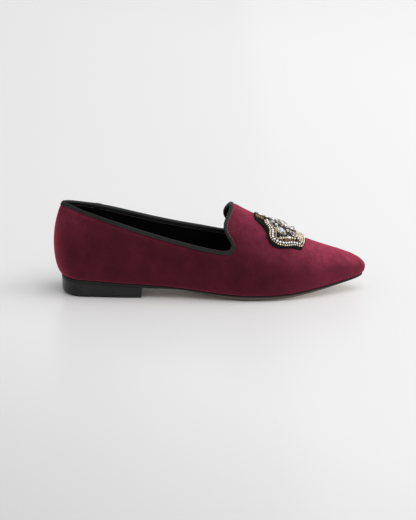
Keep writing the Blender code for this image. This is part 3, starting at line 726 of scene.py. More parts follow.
# collar ribbon and its stitches
ribbon = {
    "topColumns": 760, "throatColumns": 260, "heightStep": 0.004,
    "outerLeg": 2.8, "innerLeg": 3.4, "thickness": 0.5, "crown": 0.7, "crownSteps": 11, "press": 0.12,
    # end of a leg: past its length, share of the thickness; swell of a leg: share of its length, extra
    "legEnd": ((0.10, 0.3), (-0.05, 0.75), (-0.35, 1.0)),
    "outerSwell": ((0.62, 0.06), (0.3, 0.05)), "innerSwell": ((0.62, 0.05), (0.3, 0.04)),
    # inside of the fold: off the wall, over the edge
    "clear": 0.05, "foldDip": 0.2,
    # cross ribs, puffs between stitches that grow down a leg, plain strip where the two sides meet
    "ribPitch": 1.05, "ribDepth": 0.05, "puff": 0.10, "puffReach": 3.0, "plain": 2.0,
    # its two ends lap over each other on the inner side: station, length, lift, softness
    "lap": (52.0, 5.0, 0.42, 0.5),
    "look": {
        "name": "blackGrosgrain", "dark": (0.0036, 0.0038, 0.0038), "light": (0.0092, 0.0096, 0.0096),
        "patch": 120.0, "fibre": 5200.0, "ribShare": 0.6, "mottleShare": 0.4, "roughness": 0.52,
        "specular": 0.22, "sheen": 0.04, "sheenRough": 0.45, "bump": 0.00012, "bumpStrength": 0.5,
    },
}
stitch = {
    "pitch": 2.3, "length": 0.95, "thick": 0.40, "corners": 6, "fromEdge": 0.35, "proud": 0.08,
    # painted light: over the fade length the stitches grow paler up the throat; the inner row is paler
    # throughout, a painted highlight on the inner leg's edge
    "fade": 14.0, "insideHighlight": 0.45,
    "look": {"name": "ribbonThread", "dark": (0.018, 0.017, 0.018), "light": (0.30, 0.19, 0.20),
             "roughest": 0.7, "smoothest": 0.6},
}
barProfile = ((-0.5, 0.10), (-0.42, 0.38), (-0.2, 0.5), (0.2, 0.5), (0.42, 0.38), (0.5, 0.10))


def collarFrame(side):
    # stations and heights of the edge, how a millimetre down the wall changes each, length along the edge
    station, height = collarEdge(side, ribbon["topColumns"], ribbon["throatColumns"])
    step = ribbon["heightStep"]

    def change(stationStep, heightStep):
        # of the surface, half of that from a step before to a step after
        after = lastPoint(side, station + stationStep, height + heightStep)
        return (after - lastPoint(side, station - stationStep, height - heightStep)) / 2

    byStation, byHeight = change(planStep, 0) / planStep, change(0, step) / step
    edge = lastPoint(side, station, height)
    forward = np.gradient(edge, axis=0)
    forward[0], forward[-1] = (0, side, 0), (0, -side, 0)
    down = unit(np.cross(forward, np.cross(byStation, byHeight)))
    toStation, toHeight = ((down * slope).sum(1) / (slope ** 2).sum(1) for slope in (byStation, byHeight))
    toStation[0], toHeight[-1] = 0, 0
    return station, height, toStation, toHeight, lengthAlong(edge)


def besideCollar(side, shape, depth, inset):
    # points a depth down the wall from the edge and an inset through it, a row for each step along the edge
    station, height, toStation, toHeight = (column[:, None] for column in shape[:4])
    return lastPoint(side, station + depth * toStation, height + depth * toHeight, inset)


def ribbonLeg(length, swell):
    # outside of one leg from its end up: (depth, distance from the wall)
    far = ribbon["thickness"]
    end = [(length + past, share * far) for past, share in ribbon["legEnd"]]
    return end + [(share * length, far + extra) for share, extra in swell]


def ribbonProfile():
    # closed section of the folded ribbon as (depth, inset): outer leg, round crown, inner leg, inside
    far, wall, clear, dip = ribbon["thickness"], last["wall"], ribbon["clear"], ribbon["foldDip"]
    start = [(ribbon["outerLeg"], ribbon["press"])]
    front = [(depth, -away) for depth, away in ribbonLeg(ribbon["outerLeg"], ribbon["outerSwell"])]
    turn = np.linspace(0, np.pi, ribbon["crownSteps"])
    arc = np.stack([-ribbon["crown"] * np.sin(turn), wall / 2 - (wall / 2 + far) * np.cos(turn)], axis=-1)
    back = [(depth, wall + away) for depth, away in ribbonLeg(ribbon["innerLeg"], ribbon["innerSwell"])]
    fold = [(ribbon["innerLeg"], wall + clear), (dip, wall + clear), (-dip, wall / 2), (dip, -clear)]
    loop = np.array(start + front + arc.tolist() + back[::-1] + fold + start)
    outside = np.ones(len(loop))
    outside[0] = 0
    outside[-len(fold) - 1:] = 0
    return loop, outside


def makeRibbon():
    # the section carried along the collar, with cosine ribs, puffs between stitches and a lap at its ends
    loop, outside = ribbonProfile()
    away = np.where(loop[:, 1] > last["wall"] / 2, 1.0, -1.0)
    onCrown = np.clip(-loop[:, 0] / ribbon["crown"], 0, 1)
    onLeg = np.clip(loop[:, 0] / ribbon["puffReach"], 0, 1)
    shell = Shell()
    for side in bothSides:
        shape = collarFrame(side)
        travelled = shape[4][:, None]
        rib = ribbon["ribDepth"] * np.cos(2 * np.pi * travelled / ribbon["ribPitch"])
        puff = ribbon["puff"] * np.abs(np.sin(np.pi * travelled / stitch["pitch"]))
        lift = rib + puff * onLeg
        if side == inner:
            spot, length, height, softness = ribbon["lap"]
            within = length / 2 - np.abs(shape[0] - spot)[:, None]
            lift = lift + height * np.clip(within / softness + 0.5, 0, 1)
        lift = lift * outside * np.clip((travelled[-1] - travelled) / ribbon["plain"], 0, 1)
        depth = loop[:, 0] - lift * onCrown
        inset = loop[:, 1] + away * lift * (1 - onCrown)
        shell.grid(besideCollar(side, shape, depth, inset), along=np.repeat(shape[4], len(loop)))
    material = clothMaterial(ribbon["look"], ribbon["ribPitch"])
    shell.piece("collarRibbon", material, "ribbon", "collar_binding")


def turnedRings(profile, segments):
    # rings round the first axis through (place along it, radius), and the quads between them
    spots = np.array(profile)
    angle = 2 * np.pi * np.arange(segments) / segments
    ring = np.stack([np.cos(angle), np.sin(angle)], axis=-1)
    reach = np.repeat(spots[:, :1], segments, axis=1)[..., None]
    points = np.concatenate([reach, spots[:, 1:, None] * ring], axis=-1).reshape(-1, 3)
    return points, [face[::-1] for face in gridQuads(len(spots), segments, closed=True)]


def roundBar(segments):
    # a stitch or a bugle: a bar with tapered ends, unit length and unit thickness
    points, faces = turnedRings(barProfile, segments)
    index = list(range(len(points)))
    return points, faces + [index[:segments], index[-segments:][::-1]]


def stitchRow(shell, side, depth, inset, away, leastHighlight):
    # stitches at even steps along the collar, a depth down the wall; painted light: their tone rises up the
    # throat, where light falls on them, and never drops below the given least
    shape = collarFrame(side)
    line, lifted = (besideCollar(side, shape, depth, through)[:, 0] for through in (inset, inset + away))
    travelled = lengthAlong(line)
    spots = np.arange(stitch["pitch"] / 2, travelled[-1], stitch["pitch"])
    along = unit(readAlong(spots, travelled, np.gradient(line, travelled, axis=0)))
    across = unit(np.cross(readAlong(spots, travelled, lifted - line), along))
    tone = np.clip((spots - travelled[ribbon["topColumns"]]) / stitch["fade"], 0, 1)
    shell.copies(roundBar(stitch["corners"]), readAlong(spots, travelled, line),
                 (along, across, np.cross(along, across)),
                 (stitch["length"], stitch["thick"], stitch["thick"]), np.maximum(tone, leastHighlight))


def makeStitches():
    # one row near the lower edge of each leg, all round
    shell = Shell()
    proud = ribbon["thickness"] + stitch["proud"]
    for side in bothSides:
        stitchRow(shell, side, ribbon["outerLeg"] - stitch["fromEdge"], -proud, -1.0, 0.0)
        # inner row: a painted highlight along the inner leg's edge
        stitchRow(shell, side, ribbon["innerLeg"] - stitch["fromEdge"], last["wall"] + proud, 1.0,
                  stitch["insideHighlight"])
    shell.piece("ribbonStitches", beadMaterial(stitch["look"]), "ribbon")


makeRibbon()
makeStitches()

# sole, heel and sock; sole rows: bottom line, thickness of the edge, how far the lower edge rolls in
soleRows = tableOf("x bottom edge roll", (
    (0, 12.0, 2.8, .3), (27, 10.9, 2.8, .3), (60, 9.3, 2.5, .3), (80, 7.9, 2.6, .6), (92, 7.0, 2.0, .6),
    (105, 6.0, 1.4, .7), (118, 4.6, 1.7, .9), (130, 3.0, 2.3, 1.1), (148, .7, 3.0, 1.3), (158, 0, 3.3, 1.3),
    (190, 0, 3.3, 1.3), (205, 1.5, 3.0, 1.3), (225, 4.8, 2.5, 1.2), (245, 9.0, 1.9, 1.0),
    (262, 12.5, 1.4, .8)))
sole = {
    "stations": 300, "crowding": 0.06, "standOut": 1.0, "gap": 0.3,
    "edgeRound": 0.5, "roundSteps": 4, "rollRise": 0.6, "rollSteps": 5, "flatShare": 0.62, "underSteps": 7,
    # black band under the upper: height, half the paint line, least edge under it
    "blackBand": 1.15, "paintLine": 0.04, "leastEdge": 0.05,
    # below it the edge turns taupe in front of the heel: start, end; its mask
    "taupe": (84.0, 112.0), "taupeMask": 0.45,
    "look": {
        "name": "soleLeather", "dark": (0.30, 0.19, 0.115), "light": (0.40, 0.27, 0.17),
        "grain": 1400.0, "cloud": 30.0, "smoothest": 0.42, "roughest": 0.58, "specular": 0.25,
        "bump": 0.00015, "bumpStrength": 0.35,
        # paint by the edge mask: end of bare hide, start and end of the taupe turn, start of the black edge
        "turn": (0.072, 0.057, 0.050), "edge": (0.0036, 0.0034, 0.0033),
        "edgeStops": (0.05, 0.40, 0.55, 0.85), "cover": (0.05, 0.3),
    },
}
heel = {
    "stations": 150, "breast": 74.0, "inset": 0.05, "taper": 0.2, "sideBevel": 0.8, "backBevel": 3.0,
    "gap": 0.02, "seatSteps": 4, "faceSteps": 7, "bevelSteps": 7, "treadShares": (0.66, 0.33, 0.0),
    "breastSteps": 9,
    "look": {
        "name": "heelLacquer", "dark": (0.0028, 0.0030, 0.0030), "light": (0.0050, 0.0052, 0.0052),
        "grain": 1800.0, "cloud": 45.0, "smoothest": 0.20, "roughest": 0.30, "specular": 0.26,
        "coat": 0.10, "coatRough": 0.25, "bump": 0.00006, "bumpStrength": 0.3,
    },
}
sock = {
    "stations": 220, "thickness": 2.4, "clearance": 0.5, "round": 0.7, "roundSteps": 5, "crown": 0.5,
    "crownShares": (0.9, 0.0, 9), "baseShares": (0.0, 0.5, 1.0),
    "look": {
        "name": "sockLeather", "dark": (0.0016, 0.0016, 0.0018), "light": (0.0032, 0.0032, 0.0036),
        "grain": 1300.0, "cloud": 60.0, "smoothest": 0.55, "roughest": 0.7, "specular": 0.12,
        "bump": 0.00015, "bumpStrength": 0.4,
    },
}


def quarterRound(steps):
    # even turns through a right angle, as pairs of 1 less the cosine and 1 less the sine
    turn = np.linspace(0, rightAngle, steps)
    return list(zip(1 - np.cos(turn), 1 - np.sin(turn)))


def shareOut(side, station, share, inset):
    # plan point part of the way from the middle line to the inset feather edge
    x, y = insetLine(side, station, "Feather", inset)
    middleX = spineX(station)
    middleY = halfWidth("ridgeY", middleX)
    return middleX + (x - middleX) * share, middleY + (y - middleY) * share


def soleTop(x):
    # the feather line less the gap
    return heightOf("feather", x) - sole["gap"]


def soleLowEdge(x):
    # the top less the thickness of the edge
    return soleTop(x) - readTable(soleRows, "edge", x)


def soleBottom(x):
    # height of the middle of the underside
    return readTable(soleRows, "bottom", x)


def rowsOf(spots):
    # a grid from (plan point, height) pairs: one row across the piece for each station
    return np.stack([np.stack(np.broadcast_arrays(x, y, z), axis=-1) for (x, y), z in spots], axis=1)


def underside(side, station, inset, drop, steps):
    # from the sole's lower edge to its middle: falls evenly to the bottom line, level inside the flat share
    flat = sole["flatShare"]
    spots = []
    for share in np.concatenate([np.linspace(1, flat, steps), np.linspace(flat, 0, steps)[1:]]):
        x, y = shareOut(side, station, share, inset)
        lift = np.clip((share - flat) / (1 - flat), 0, 1)
        spots.append(((x, y), soleBottom(x) + (soleLowEdge(x) - soleBottom(x)) * lift - drop))
    return spots


def makeSole():
    # top face, rounded shoulder, upright edge, rolled lower edge, underside
    # edge mask: 1 black edge, about a half taupe, 0 bare underside
    shell = Shell()
    out = -sole["standOut"]
    for side in bothSides:
        station = last["end"] * crowdEnds(sole["stations"], sole["crowding"])
        middle = shareOut(side, station, 0.0, 0.0)
        spots = [(middle, soleTop(middle[0]))]
        for down, inward in quarterRound(sole["roundSteps"]):
            plan = shareOut(side, station, 1.0, out + sole["edgeRound"] * inward)
            spots.append((plan, soleTop(plan[0]) - sole["edgeRound"] * down))
        edge = shareOut(side, station, 1.0, out)
        roll = readTable(soleRows, "roll", edge[0])
        low = soleLowEdge(edge[0]) + sole["rollRise"] * roll
        split = np.maximum(soleTop(edge[0]) - sole["blackBand"], low + sole["leastEdge"])
        spots += [(edge, split + sole["paintLine"]), (edge, split - sole["paintLine"])]
        blackRows = len(spots) - 1
        for inward, up in quarterRound(sole["rollSteps"]):
            plan = shareOut(side, station, 1.0, out + roll * inward)
            spots.append((plan, soleLowEdge(plan[0]) + sole["rollRise"] * roll * up))
        edgeRows = len(spots)
        spots += underside(side, station, roll + out, 0.0, sole["underSteps"])[1:]
        start, end = sole["taupe"]
        forward = np.clip((edge[0] - start) / (end - start), 0, 1)
        mask = np.zeros((len(station), len(spots)))
        mask[:, :blackRows] = 1.0
        mask[:, blackRows:edgeRows] = 1 - (1 - sole["taupeMask"]) * forward[:, None]
        shell.grid(rowsOf(spots), edgeMask=mask.ravel())
    shell.piece("leatherSole", grainMaterial(sole["look"]), "sole", "outsole")


def makeHeel():
    # block under the seat: upright sides, lower edge bevelled most at the back, straight breast
    shell = Shell()
    ends = []
    out = heel["inset"] - sole["standOut"]
    foot = out + heel["taper"]
    for side in bothSides:
        station = (heel["breast"] + last["shift"]) * crowdEnds(heel["stations"], sole["crowding"])
        turn = rightAngle * (1 - np.clip(station / last["heelArc"], 0, 1))
        bevel = heel["sideBevel"] + (heel["backBevel"] - heel["sideBevel"]) * np.sin(turn) ** 2
        spots = underside(side, station, out, heel["gap"], heel["seatSteps"])[::-1]
        high = spots.pop()[1]
        for share in np.linspace(0, 1, heel["faceSteps"]):
            plan = shareOut(side, station, 1.0, out + heel["taper"] * share)
            spots.append((plan, high + (bevel - high) * share))
        for inward, up in quarterRound(heel["bevelSteps"])[1:]:
            spots.append((shareOut(side, station, 1.0, foot + bevel * inward), bevel * up))
        spots += [(shareOut(side, station, share, foot + bevel), 0.0) for share in heel["treadShares"]]
        grid = rowsOf(spots)
        shell.grid(grid)
        ends.append(grid[-1])
    shell.grid(np.linspace(*ends, heel["breastSteps"]))
    shell.piece("heelBlock", grainMaterial(heel["look"]), "heel", "heel")


def makeSock():
    # thin pad on the margin: flat base, rounded edge, face crowned by 1 less the square of the share
    out, floor = last["wall"] + sock["clearance"], last["wall"] + sole["gap"]
    radius, top = sock["round"], sock["thickness"]
    profile = [(share, 0.0, 0.0) for share in sock["baseShares"]]
    profile += [(1.0, radius * inward, top - radius * down)
                for inward, down in quarterRound(sock["roundSteps"])]
    profile += [(share, radius, top + sock["crown"] * (1 - share * share))
                for share in np.linspace(*sock["crownShares"])]
    shell = Shell()
    for side in bothSides:
        station = last["end"] * crowdEnds(sock["stations"], sole["crowding"])
        spots = []
        for share, inset, rise in profile:
            plan = shareOut(side, station, share, out + inset)
            spots.append((plan, heightOf("feather", plan[0]) + floor + rise))
        shell.grid(rowsOf(spots))
    shell.piece("sockPad", grainMaterial(sock["look"]), "sock", "insole")


makeSole()
makeHeel()
makeSock()

# crest on the vamp, drawn flat: along the ridge from its throat end, and round from the ridge, millimetres
crest = {
    "startX": 169.0, "length": 47.6, "middle": (25.0, 0.0), "gap": 0.4,
    # the crest comes down to the vamp at its throat end and its toe end, to this share of the gap at least
    "endDrop": (0.6, 1.5), "leastGap": 0.5,
    # map of the vamp: start before the crest, rows, heights in a row; reach round, steps round
    "mapStart": 12.0, "mapRows": 160, "mapHeights": 200, "mapReach": 44.0, "mapSteps": 221,
    # outline of the felt
    "end": ((-.9, 0), (-.9, 6), (-.3, 11.4)),
    "side": ((-.3, 11.4), (4.0, 14.2), (8.0, 17.6), (10.4, 22), (11.2, 26.5), (12.8, 30.6), (16.4, 32.6),
             (21.6, 31.8), (28.0, 28.7), (33.6, 25.6), (38, 24.0), (42.4, 22.8)),
    "base": ((42.4, 22.8), (45.4, 14), (47.2, 6), (47.6, 0)),
    # outer line of the bead rows
    "neck": ((8.0, 0), (8.1, 3.0), (8.6, 6.2)),
    "flank": ((8.6, 6.2), (9.8, 11.0), (11.8, 13.8), (13.3, 16.4), (13.6, 19.8), (13.2, 23.2), (14.0, 26.4),
              (16.0, 28.3), (19.0, 29.0), (22.5, 28.8), (26.5, 27.5), (30.5, 25.4), (34.2, 22.8), (38, 20.8),
              (41, 19.7), (43.2, 18.6)),
    "front": ((43.2, 18.6), (44.7, 13), (45.8, 7), (46.1, 0)),
    "runSteps": 120, "outlineSteps": 900, "rowSteps": 1200, "rowSlack": 0.06,
    # the beaded ground swells in the middle: height, place along, spread along, spread round
    "dome": (1.0, 27.0, 11.0, 16.0),
}
felt = {
    "thickness": 1.4, "steps": 420, "shoulder": 0.35, "underRows": 7, "wallRows": 5, "roundRows": 5,
    "faceShares": (0.9, 0.0, 10),
    # fuzzy wall: height, then waves of (turn for each step, share)
    "fuzz": 0.05, "fuzzWaves": ((2.399, 1.0), (0.61, 0.6)),
    "look": {
        "name": "blackFelt", "dark": (0.0028, 0.0031, 0.0030), "light": (0.0065, 0.0070, 0.0068),
        "patch": 200.0, "fibre": 2600.0, "roughness": 0.95, "specular": 0.05,
        "sheen": 0.03, "sheenRough": 0.5, "bump": 0.0004, "bumpStrength": 0.7,
    },
}
feltTop = crest["gap"] + felt["thickness"]


def vampMap(side):
    # heights on the last at even distances round from the ridge, for a run of stations
    ridgeX = np.linspace(crest["startX"] - crest["mapStart"], last["toeStart"], crest["mapRows"])
    station = ridgeX + last["shift"]
    travelled = lengthAlong(lastPoint(side, station, 1.0))
    travelled -= np.interp(crest["startX"], ridgeX, travelled)
    height = np.linspace(1.0, last["bulge"], crest["mapHeights"])
    section = lastPoint(side, station[:, None], height[None])
    around = np.linspace(0, crest["mapReach"], crest["mapSteps"])
    table = np.stack([np.interp(around, lengthAlong(row), height) for row in section])
    return travelled, station, around, table


vampMaps = [vampMap(side) for side in bothSides]


def crestPoint(along, around, lift):
    # point over the vamp; lift drops with the square of the distance from the middle, less to the throat
    along, around, lift = np.broadcast_arrays(*(np.asarray(v, float) for v in (along, around, lift)))
    fromMiddle = 2 * along / crest["length"] - 1
    drop = np.where(fromMiddle < 0, *crest["endDrop"]) * fromMiddle ** 2
    lift = np.maximum(crest["gap"] * crest["leastGap"], lift - drop)
    made = []
    for side, (travelled, stations, rounds, table) in zip(bothSides, vampMaps):
        station = np.interp(along, travelled, stations)
        i = np.interp(station, stations, np.arange(len(stations)))
        j = np.interp(np.abs(around), rounds, np.arange(len(rounds)))
        low, left = np.minimum(i.astype(int), len(stations) - 2), np.minimum(j.astype(int), len(rounds) - 2)
        u, v = i - low, j - left
        height = ((table[low, left] * (1 - v) + table[low, left + 1] * v) * (1 - u)
                  + (table[low + 1, left] * (1 - v) + table[low + 1, left + 1] * v) * u)
        made.append(lastPoint(side, station, height, -lift))
    return np.where((around < 0)[..., None], *made)


def crestNormal(along, around, lift, step=0.3):
    # square to a step forward and a step across
    forward = crestPoint(along + step, around, lift) - crestPoint(along - step, around, lift)
    across = crestPoint(along, around + step, lift) - crestPoint(along, around - step, lift)
    return unit(np.cross(forward, across))


def swell(flat):
    # height of the dome: a bell along times a bell round
    height, middle, alongSpread, roundSpread = crest["dome"]
    return height * hump(flat[:, 0], middle, alongSpread) * hump(flat[:, 1], 0, roundSpread)


def crestOutline(names, count):
    # closed outline with even steps: three runs on one half, then their mirror image
    first, second, third = (curveThrough(crest[name], crest["runSteps"]) for name in names)
    half = np.concatenate([first[:-1], second[:-1], third])
    return evenSteps(np.concatenate([half * (1, -1), half[-2::-1]]), count + 1)[:-1]


fineOutline = crestOutline(("neck", "flank", "front"), crest["outlineSteps"])


def gapTo(points, path):
    # distance from each flat point to the nearest point of a path
    return np.sqrt(((points[:, None] - path[None]) ** 2).sum(-1)).min(1)


def crestRow(inset, start, end):
    # the rows' outer line moved inwards, without points nearer to it than the inset, from start to end share
    run = np.roll(fineOutline, -1, axis=0) - np.roll(fineOutline, 1, axis=0)
    moved = fineOutline + inset * unit(np.stack([-run[:, 1], run[:, 0]], axis=-1))
    moved = moved[gapTo(moved, fineOutline) > inset - crest["rowSlack"]]
    steps = crest["rowSteps"]
    path = evenSteps(np.concatenate([moved, moved[:1]]), steps + 1)
    return path[int(start * steps):int(end * steps) + 1]


def insideOutline(points, inset):
    # inside the rows' outer line by the crossing rule, and farther than inset from it
    a, b = fineOutline, np.roll(fineOutline, -1, axis=0)
    x, y = points[:, :1], points[:, 1:]
    crosses = (a[:, 1] > y) != (b[:, 1] > y)
    rise = np.where(b[:, 1] == a[:, 1], 1e-9, b[:, 1] - a[:, 1])
    spot = a[:, 0] + (y - a[:, 1]) / rise * (b[:, 0] - a[:, 0])
    odd = (crosses & (x < spot)).sum(1) % 2 == 1
    return odd & (gapTo(points, fineOutline) > inset)


def frameAt(flat, run, lift):
    # origin, axis along the row, axis across it, axis off the vamp
    normal = crestNormal(*flat.T, lift)
    along = unit(run - (run * normal).sum(1)[:, None] * normal)
    return crestPoint(*flat.T, lift), (along, np.cross(normal, along), normal)


def stepAlong(path, pitch, lift):
    # even steps along a flat path, measured over the vamp: flat spots and the direction at each
    solid = crestPoint(*path.T, lift)
    travelled = lengthAlong(solid)
    count = max(1, int(round(travelled[-1] / pitch)))
    spots = (np.arange(count) + 0.5) * travelled[-1] / count
    run = np.gradient(solid, travelled, axis=0)
    return readAlong(spots, travelled, path), readAlong(spots, travelled, run)


def seedBead(profile, dimple, segments=8):
    # a barrel with dimpled ends, unit length and unit width
    points, faces = turnedRings(profile, segments)
    back = len(points)
    around = np.arange(segments)
    after = (around + 1) % segments
    top = back - segments
    faces += np.stack([np.full(segments, back), after, around], axis=-1).tolist()
    faces += np.stack([np.full(segments, back + 1), top + around, top + after], axis=-1).tolist()
    return np.concatenate([points, [(-dimple, 0, 0), (dimple, 0, 0)]]), faces


def cutStone(corners, *rings):
    # facetted stone: rings of (radius, height), each turned half a step on the one below; flat table and back
    turn = np.arange(len(rings))[:, None] / 2
    angle = 2 * np.pi * (np.arange(corners)[None] + turn) / corners
    radius, height = (np.array(rings)[:, k:k + 1] for k in range(2))
    points = np.stack([radius * np.cos(angle), radius * np.sin(angle), height + 0 * angle], axis=-1)
    index = np.arange(len(rings) * corners).reshape(len(rings), corners)
    faces = []
    for low, high in zip(index[:-1], index[1:]):
        faces += np.stack([low, np.roll(low, -1), high], axis=-1).tolist()
        faces += np.stack([np.roll(low, -1), np.roll(high, -1), high], axis=-1).tolist()
    return points.reshape(-1, 3), faces + [index[0, ::-1].tolist(), index[-1].tolist()]


beadShape = seedBead(((-0.50, 0.24), (-0.36, 0.42), (0.0, 0.5), (0.36, 0.42), (0.50, 0.24)), 0.40)
cupShape = cutStone(8, (0.80, -0.40), (1.0, 0.0), (1.0, 0.55), (0.84, 0.62))
gemShape = cutStone(8, (0.86, 0.40), (0.90, 0.72), (0.62, 1.10), (0.30, 1.24))
stoneShape = cutStone(10, (0.90, -0.30), (1.0, 0.10), (0.97, 0.34), (0.70, 0.78), (0.40, 1.0))


def byName(columns, rows):
    # a dictionary for each row, under its name
    return {row[0]: dict(zip(columns.split(), row)) for row in rows}


# width, length along the row, pitch, lift over the felt, darkest tone; runs of inset, start, end
beadRows = byName("name width length pitch lift tone runs", (
    ("gold", 1.50, 1.12, 2.02, 0.55, 0.35, ((0.0, 0.040, 0.960),)),
    ("bronze", 1.05, 1.0, 1.16, 0.70, 0.0, ((4.35, 0.028, 0.385), (4.35, 0.615, 0.972))),
    ("lobe", 2.20, 1.75, 2.36, 0.95, 0.3, ((6.4, 0.225, 0.375), (6.4, 0.625, 0.775))),
    ("pale", 1.72, 1.15, 1.78, 0.80, 0.0,
     ((1.75, 0.395, 0.605), (3.45, 0.395, 0.605), (5.15, 0.400, 0.600), (6.85, 0.410, 0.590))),
    ("silver", 1.00, 0.85, 1.22, 0.75, 0.3, ((5.6, 0.028, 0.250), (5.6, 0.750, 0.972)))))
# beads differ in size and lie askew by these shares
beadWobble, beadLean = 0.08, 0.18
# ring of beads round a large stone: also how far off the stone, steps of its path
ring = {"width": 1.25, "length": 1.02, "pitch": 1.52, "lift": 1.25, "tone": 0.2, "clear": 0.55, "steps": 81}
# the chain's stones get painted glints, facet tones from its tone to 1
chain = {"width": 2.36, "pitch": 2.72, "lift": 0.15, "tone": 0.42,
         "runs": ((2.2, 0.028, 0.385), (2.2, 0.615, 0.972))}


def onBothHalves(*rows):
    # each stone on the outer half of the crest, then its mirror image
    return tuple((along, side * around, *rest) for along, around, *rest in rows for side in bothSides)


# set stones: along, round, half length, half width, seat above the felt, height
stones = {
    "clear": ((26.0, 0.0, 4.6, 3.8, 1.6, 2.1), *onBothHalves((23.5, 13.5, 4.0, 3.0, 1.3, 1.9))),
    "small": ((33.8, 0.0, 2.1, 1.9, 1.3, 1.6), *onBothHalves(
        (16.4, 4.2, 1.9, 1.6, 0.8, 1.3), (30.0, 8.6, 1.6, 1.6, 1.0, 1.4),
        (19.4, 7.6, 1.5, 1.5, 0.9, 1.3), (30.2, 17.2, 1.6, 1.5, 0.8, 1.3))),
    "finial": ((4.4, 0.0, 2.0, 1.8, 1.2, 1.3),),
    "smoke": onBothHalves((35.5, 9.0, 2.4, 2.4, 1.2, 1.8)),
}
# painted glints: darkest and lightest facet tone of each group, standing in for the light its facets reflect
stoneGlints = {"clear": (0.0, 0.8), "small": (0.1, 1.0), "finial": (0.5, 1.0), "smoke": (0.0, 0.9)}
# bugles across the throat end: first and last along and their number, middle round, length and widths
finial = {"along": (0.9, 7.0, 5), "round": 4.7, "size": (5.6, 1.12, 1.12), "corners": 8,
          "lift": 0.5, "tone": 0.4}
# beads on a lattice inside the rows, clear of the stones; sizes: smallest and largest share
ground = {"pitch": 1.62, "jitter": 0.22, "width": 1.5, "length": 1.35, "lift": 0.45, "clear": 0.75,
          "inset": 5.6, "sizes": (0.85, 1.1), "along": (6.0, 44.0), "round": (-30.0, 30.1)}
beadLooks = byName("name dark light metallic roughest smoothest coat coatRough", (
    ("goldBead", (0.22, 0.14, 0.07), (0.98, 0.86, 0.66), 0.45, 0.36, 0.22, 0.0, 0.08),
    ("bronzeBead", (0.07, 0.034, 0.016), (0.60, 0.36, 0.19), 0.8, 0.36, 0.2, 0.0, 0.08),
    ("creamBead", (0.50, 0.39, 0.28), (0.90, 0.82, 0.70), 0.2, 0.3, 0.18, 0.6, 0.08),
    ("silverCup", (0.20, 0.16, 0.12), (0.72, 0.68, 0.62), 0.9, 0.34, 0.22, 0.0, 0.08),
    ("foiledCrystal", (0.05, 0.055, 0.07), (0.97, 0.96, 0.97), 0.2, 0.18, 0.08, 0.6, 0.08),
    ("smokeStone", (0.03, 0.035, 0.055), (0.42, 0.45, 0.56), 0.5, 0.12, 0.05, 0.8, 0.08),
    ("jetBead", (0.003, 0.0035, 0.005), (0.028, 0.031, 0.044), 0.1, 0.2, 0.08, 0.5, 0.08)))


def makeFelt():
    # pad: underside, upright fuzzy wall with a rounded shoulder, top
    outline = crestOutline(("end", "side", "base"), felt["steps"])
    step = np.arange(len(outline))
    fuzz = felt["fuzz"] * sum(share * np.sin(step * turn) for turn, share in felt["fuzzWaves"])
    middle = np.array(crest["middle"])
    low, shoulder = crest["gap"], felt["shoulder"]
    profile = [(share, 0.0, low) for share in np.linspace(0, 1, felt["underRows"])]
    profile += [(1.0, 0.0, lift) for lift in np.linspace(low, feltTop - shoulder, felt["wallRows"])[1:]]
    profile += [(1.0, shoulder * inward, feltTop - shoulder * down)
                for inward, down in quarterRound(felt["roundRows"])[1:]]
    profile += [(share, shoulder, feltTop) for share in np.linspace(*felt["faceShares"])]
    away = np.linalg.norm(outline - middle, axis=1)[:, None]
    rows = []
    for share, inset, lift in profile:
        flat = middle + (outline - middle) * np.maximum(share - inset / away, 0)
        rows.append(crestPoint(*flat.T, lift + fuzz * (low < lift < feltTop)))
    shell = Shell()
    shell.grid(np.stack(rows), closed=True)
    shell.piece("crestFelt", clothMaterial(felt["look"]), "felt", "crest_felt")


def beadRow(shell, path, bead):
    # beads at even steps, each a little larger or smaller and a little askew
    lift = feltTop + bead["lift"]
    flat, run = stepAlong(path, bead["pitch"], lift)
    origin, (along, across, up) = frameAt(flat, run, lift + swell(flat))
    size = np.array((bead["length"], bead["width"], bead["width"]))
    sizes = size * (1 + beadWobble * rng.uniform(-1, 1, (len(flat), 1)))
    turn = beadLean * rng.uniform(-1, 1, (len(flat), 1))
    axes = (unit(along + turn * across), unit(across - turn * along), up)
    shell.copies(beadShape, origin, axes, sizes, rng.uniform(bead["tone"], 1, len(flat)))


def ovalPath(stone):
    # ellipse round a stone, a little off it
    angle = np.linspace(0, 2 * np.pi, ring["steps"])
    halfLength, halfWide = stone[2] + ring["clear"], stone[3] + ring["clear"]
    return np.stack([stone[0] + halfLength * np.cos(angle), stone[1] + halfWide * np.sin(angle)], axis=-1)


def setStones(shell, group):
    # one cut stone at each place, every facet with a tone of its own, a painted glint
    spots = np.array(stones[group])
    flat, sizes, lift = spots[:, :2], spots[:, (2, 3, 5)], feltTop + spots[:, 4]
    run = crestPoint(*(flat + (1, 0)).T, lift) - crestPoint(*flat.T, lift)
    origin, axes = frameAt(flat, run, lift + swell(flat))
    tone = rng.uniform(*stoneGlints[group], (len(flat), len(stoneShape[1])))
    shell.copies(stoneShape, origin, axes, sizes, tone)


def makeChain(cups, gems):
    # a cup and a cut stone at each step
    lift = feltTop + chain["lift"]
    for row in chain["runs"]:
        flat, run = stepAlong(crestRow(*row), chain["pitch"], lift)
        origin, axes = frameAt(flat, run, lift)
        sizes = (chain["width"] / 2,) * 3
        cups.copies(cupShape, origin, axes, sizes, rng.uniform(0, 1, len(flat)))
        # painted glints: a pale tone for each facet of the chain's stones
        tone = rng.uniform(chain["tone"], 1, (len(flat), len(gemShape[1])))
        gems.copies(gemShape, origin, axes, sizes, tone)


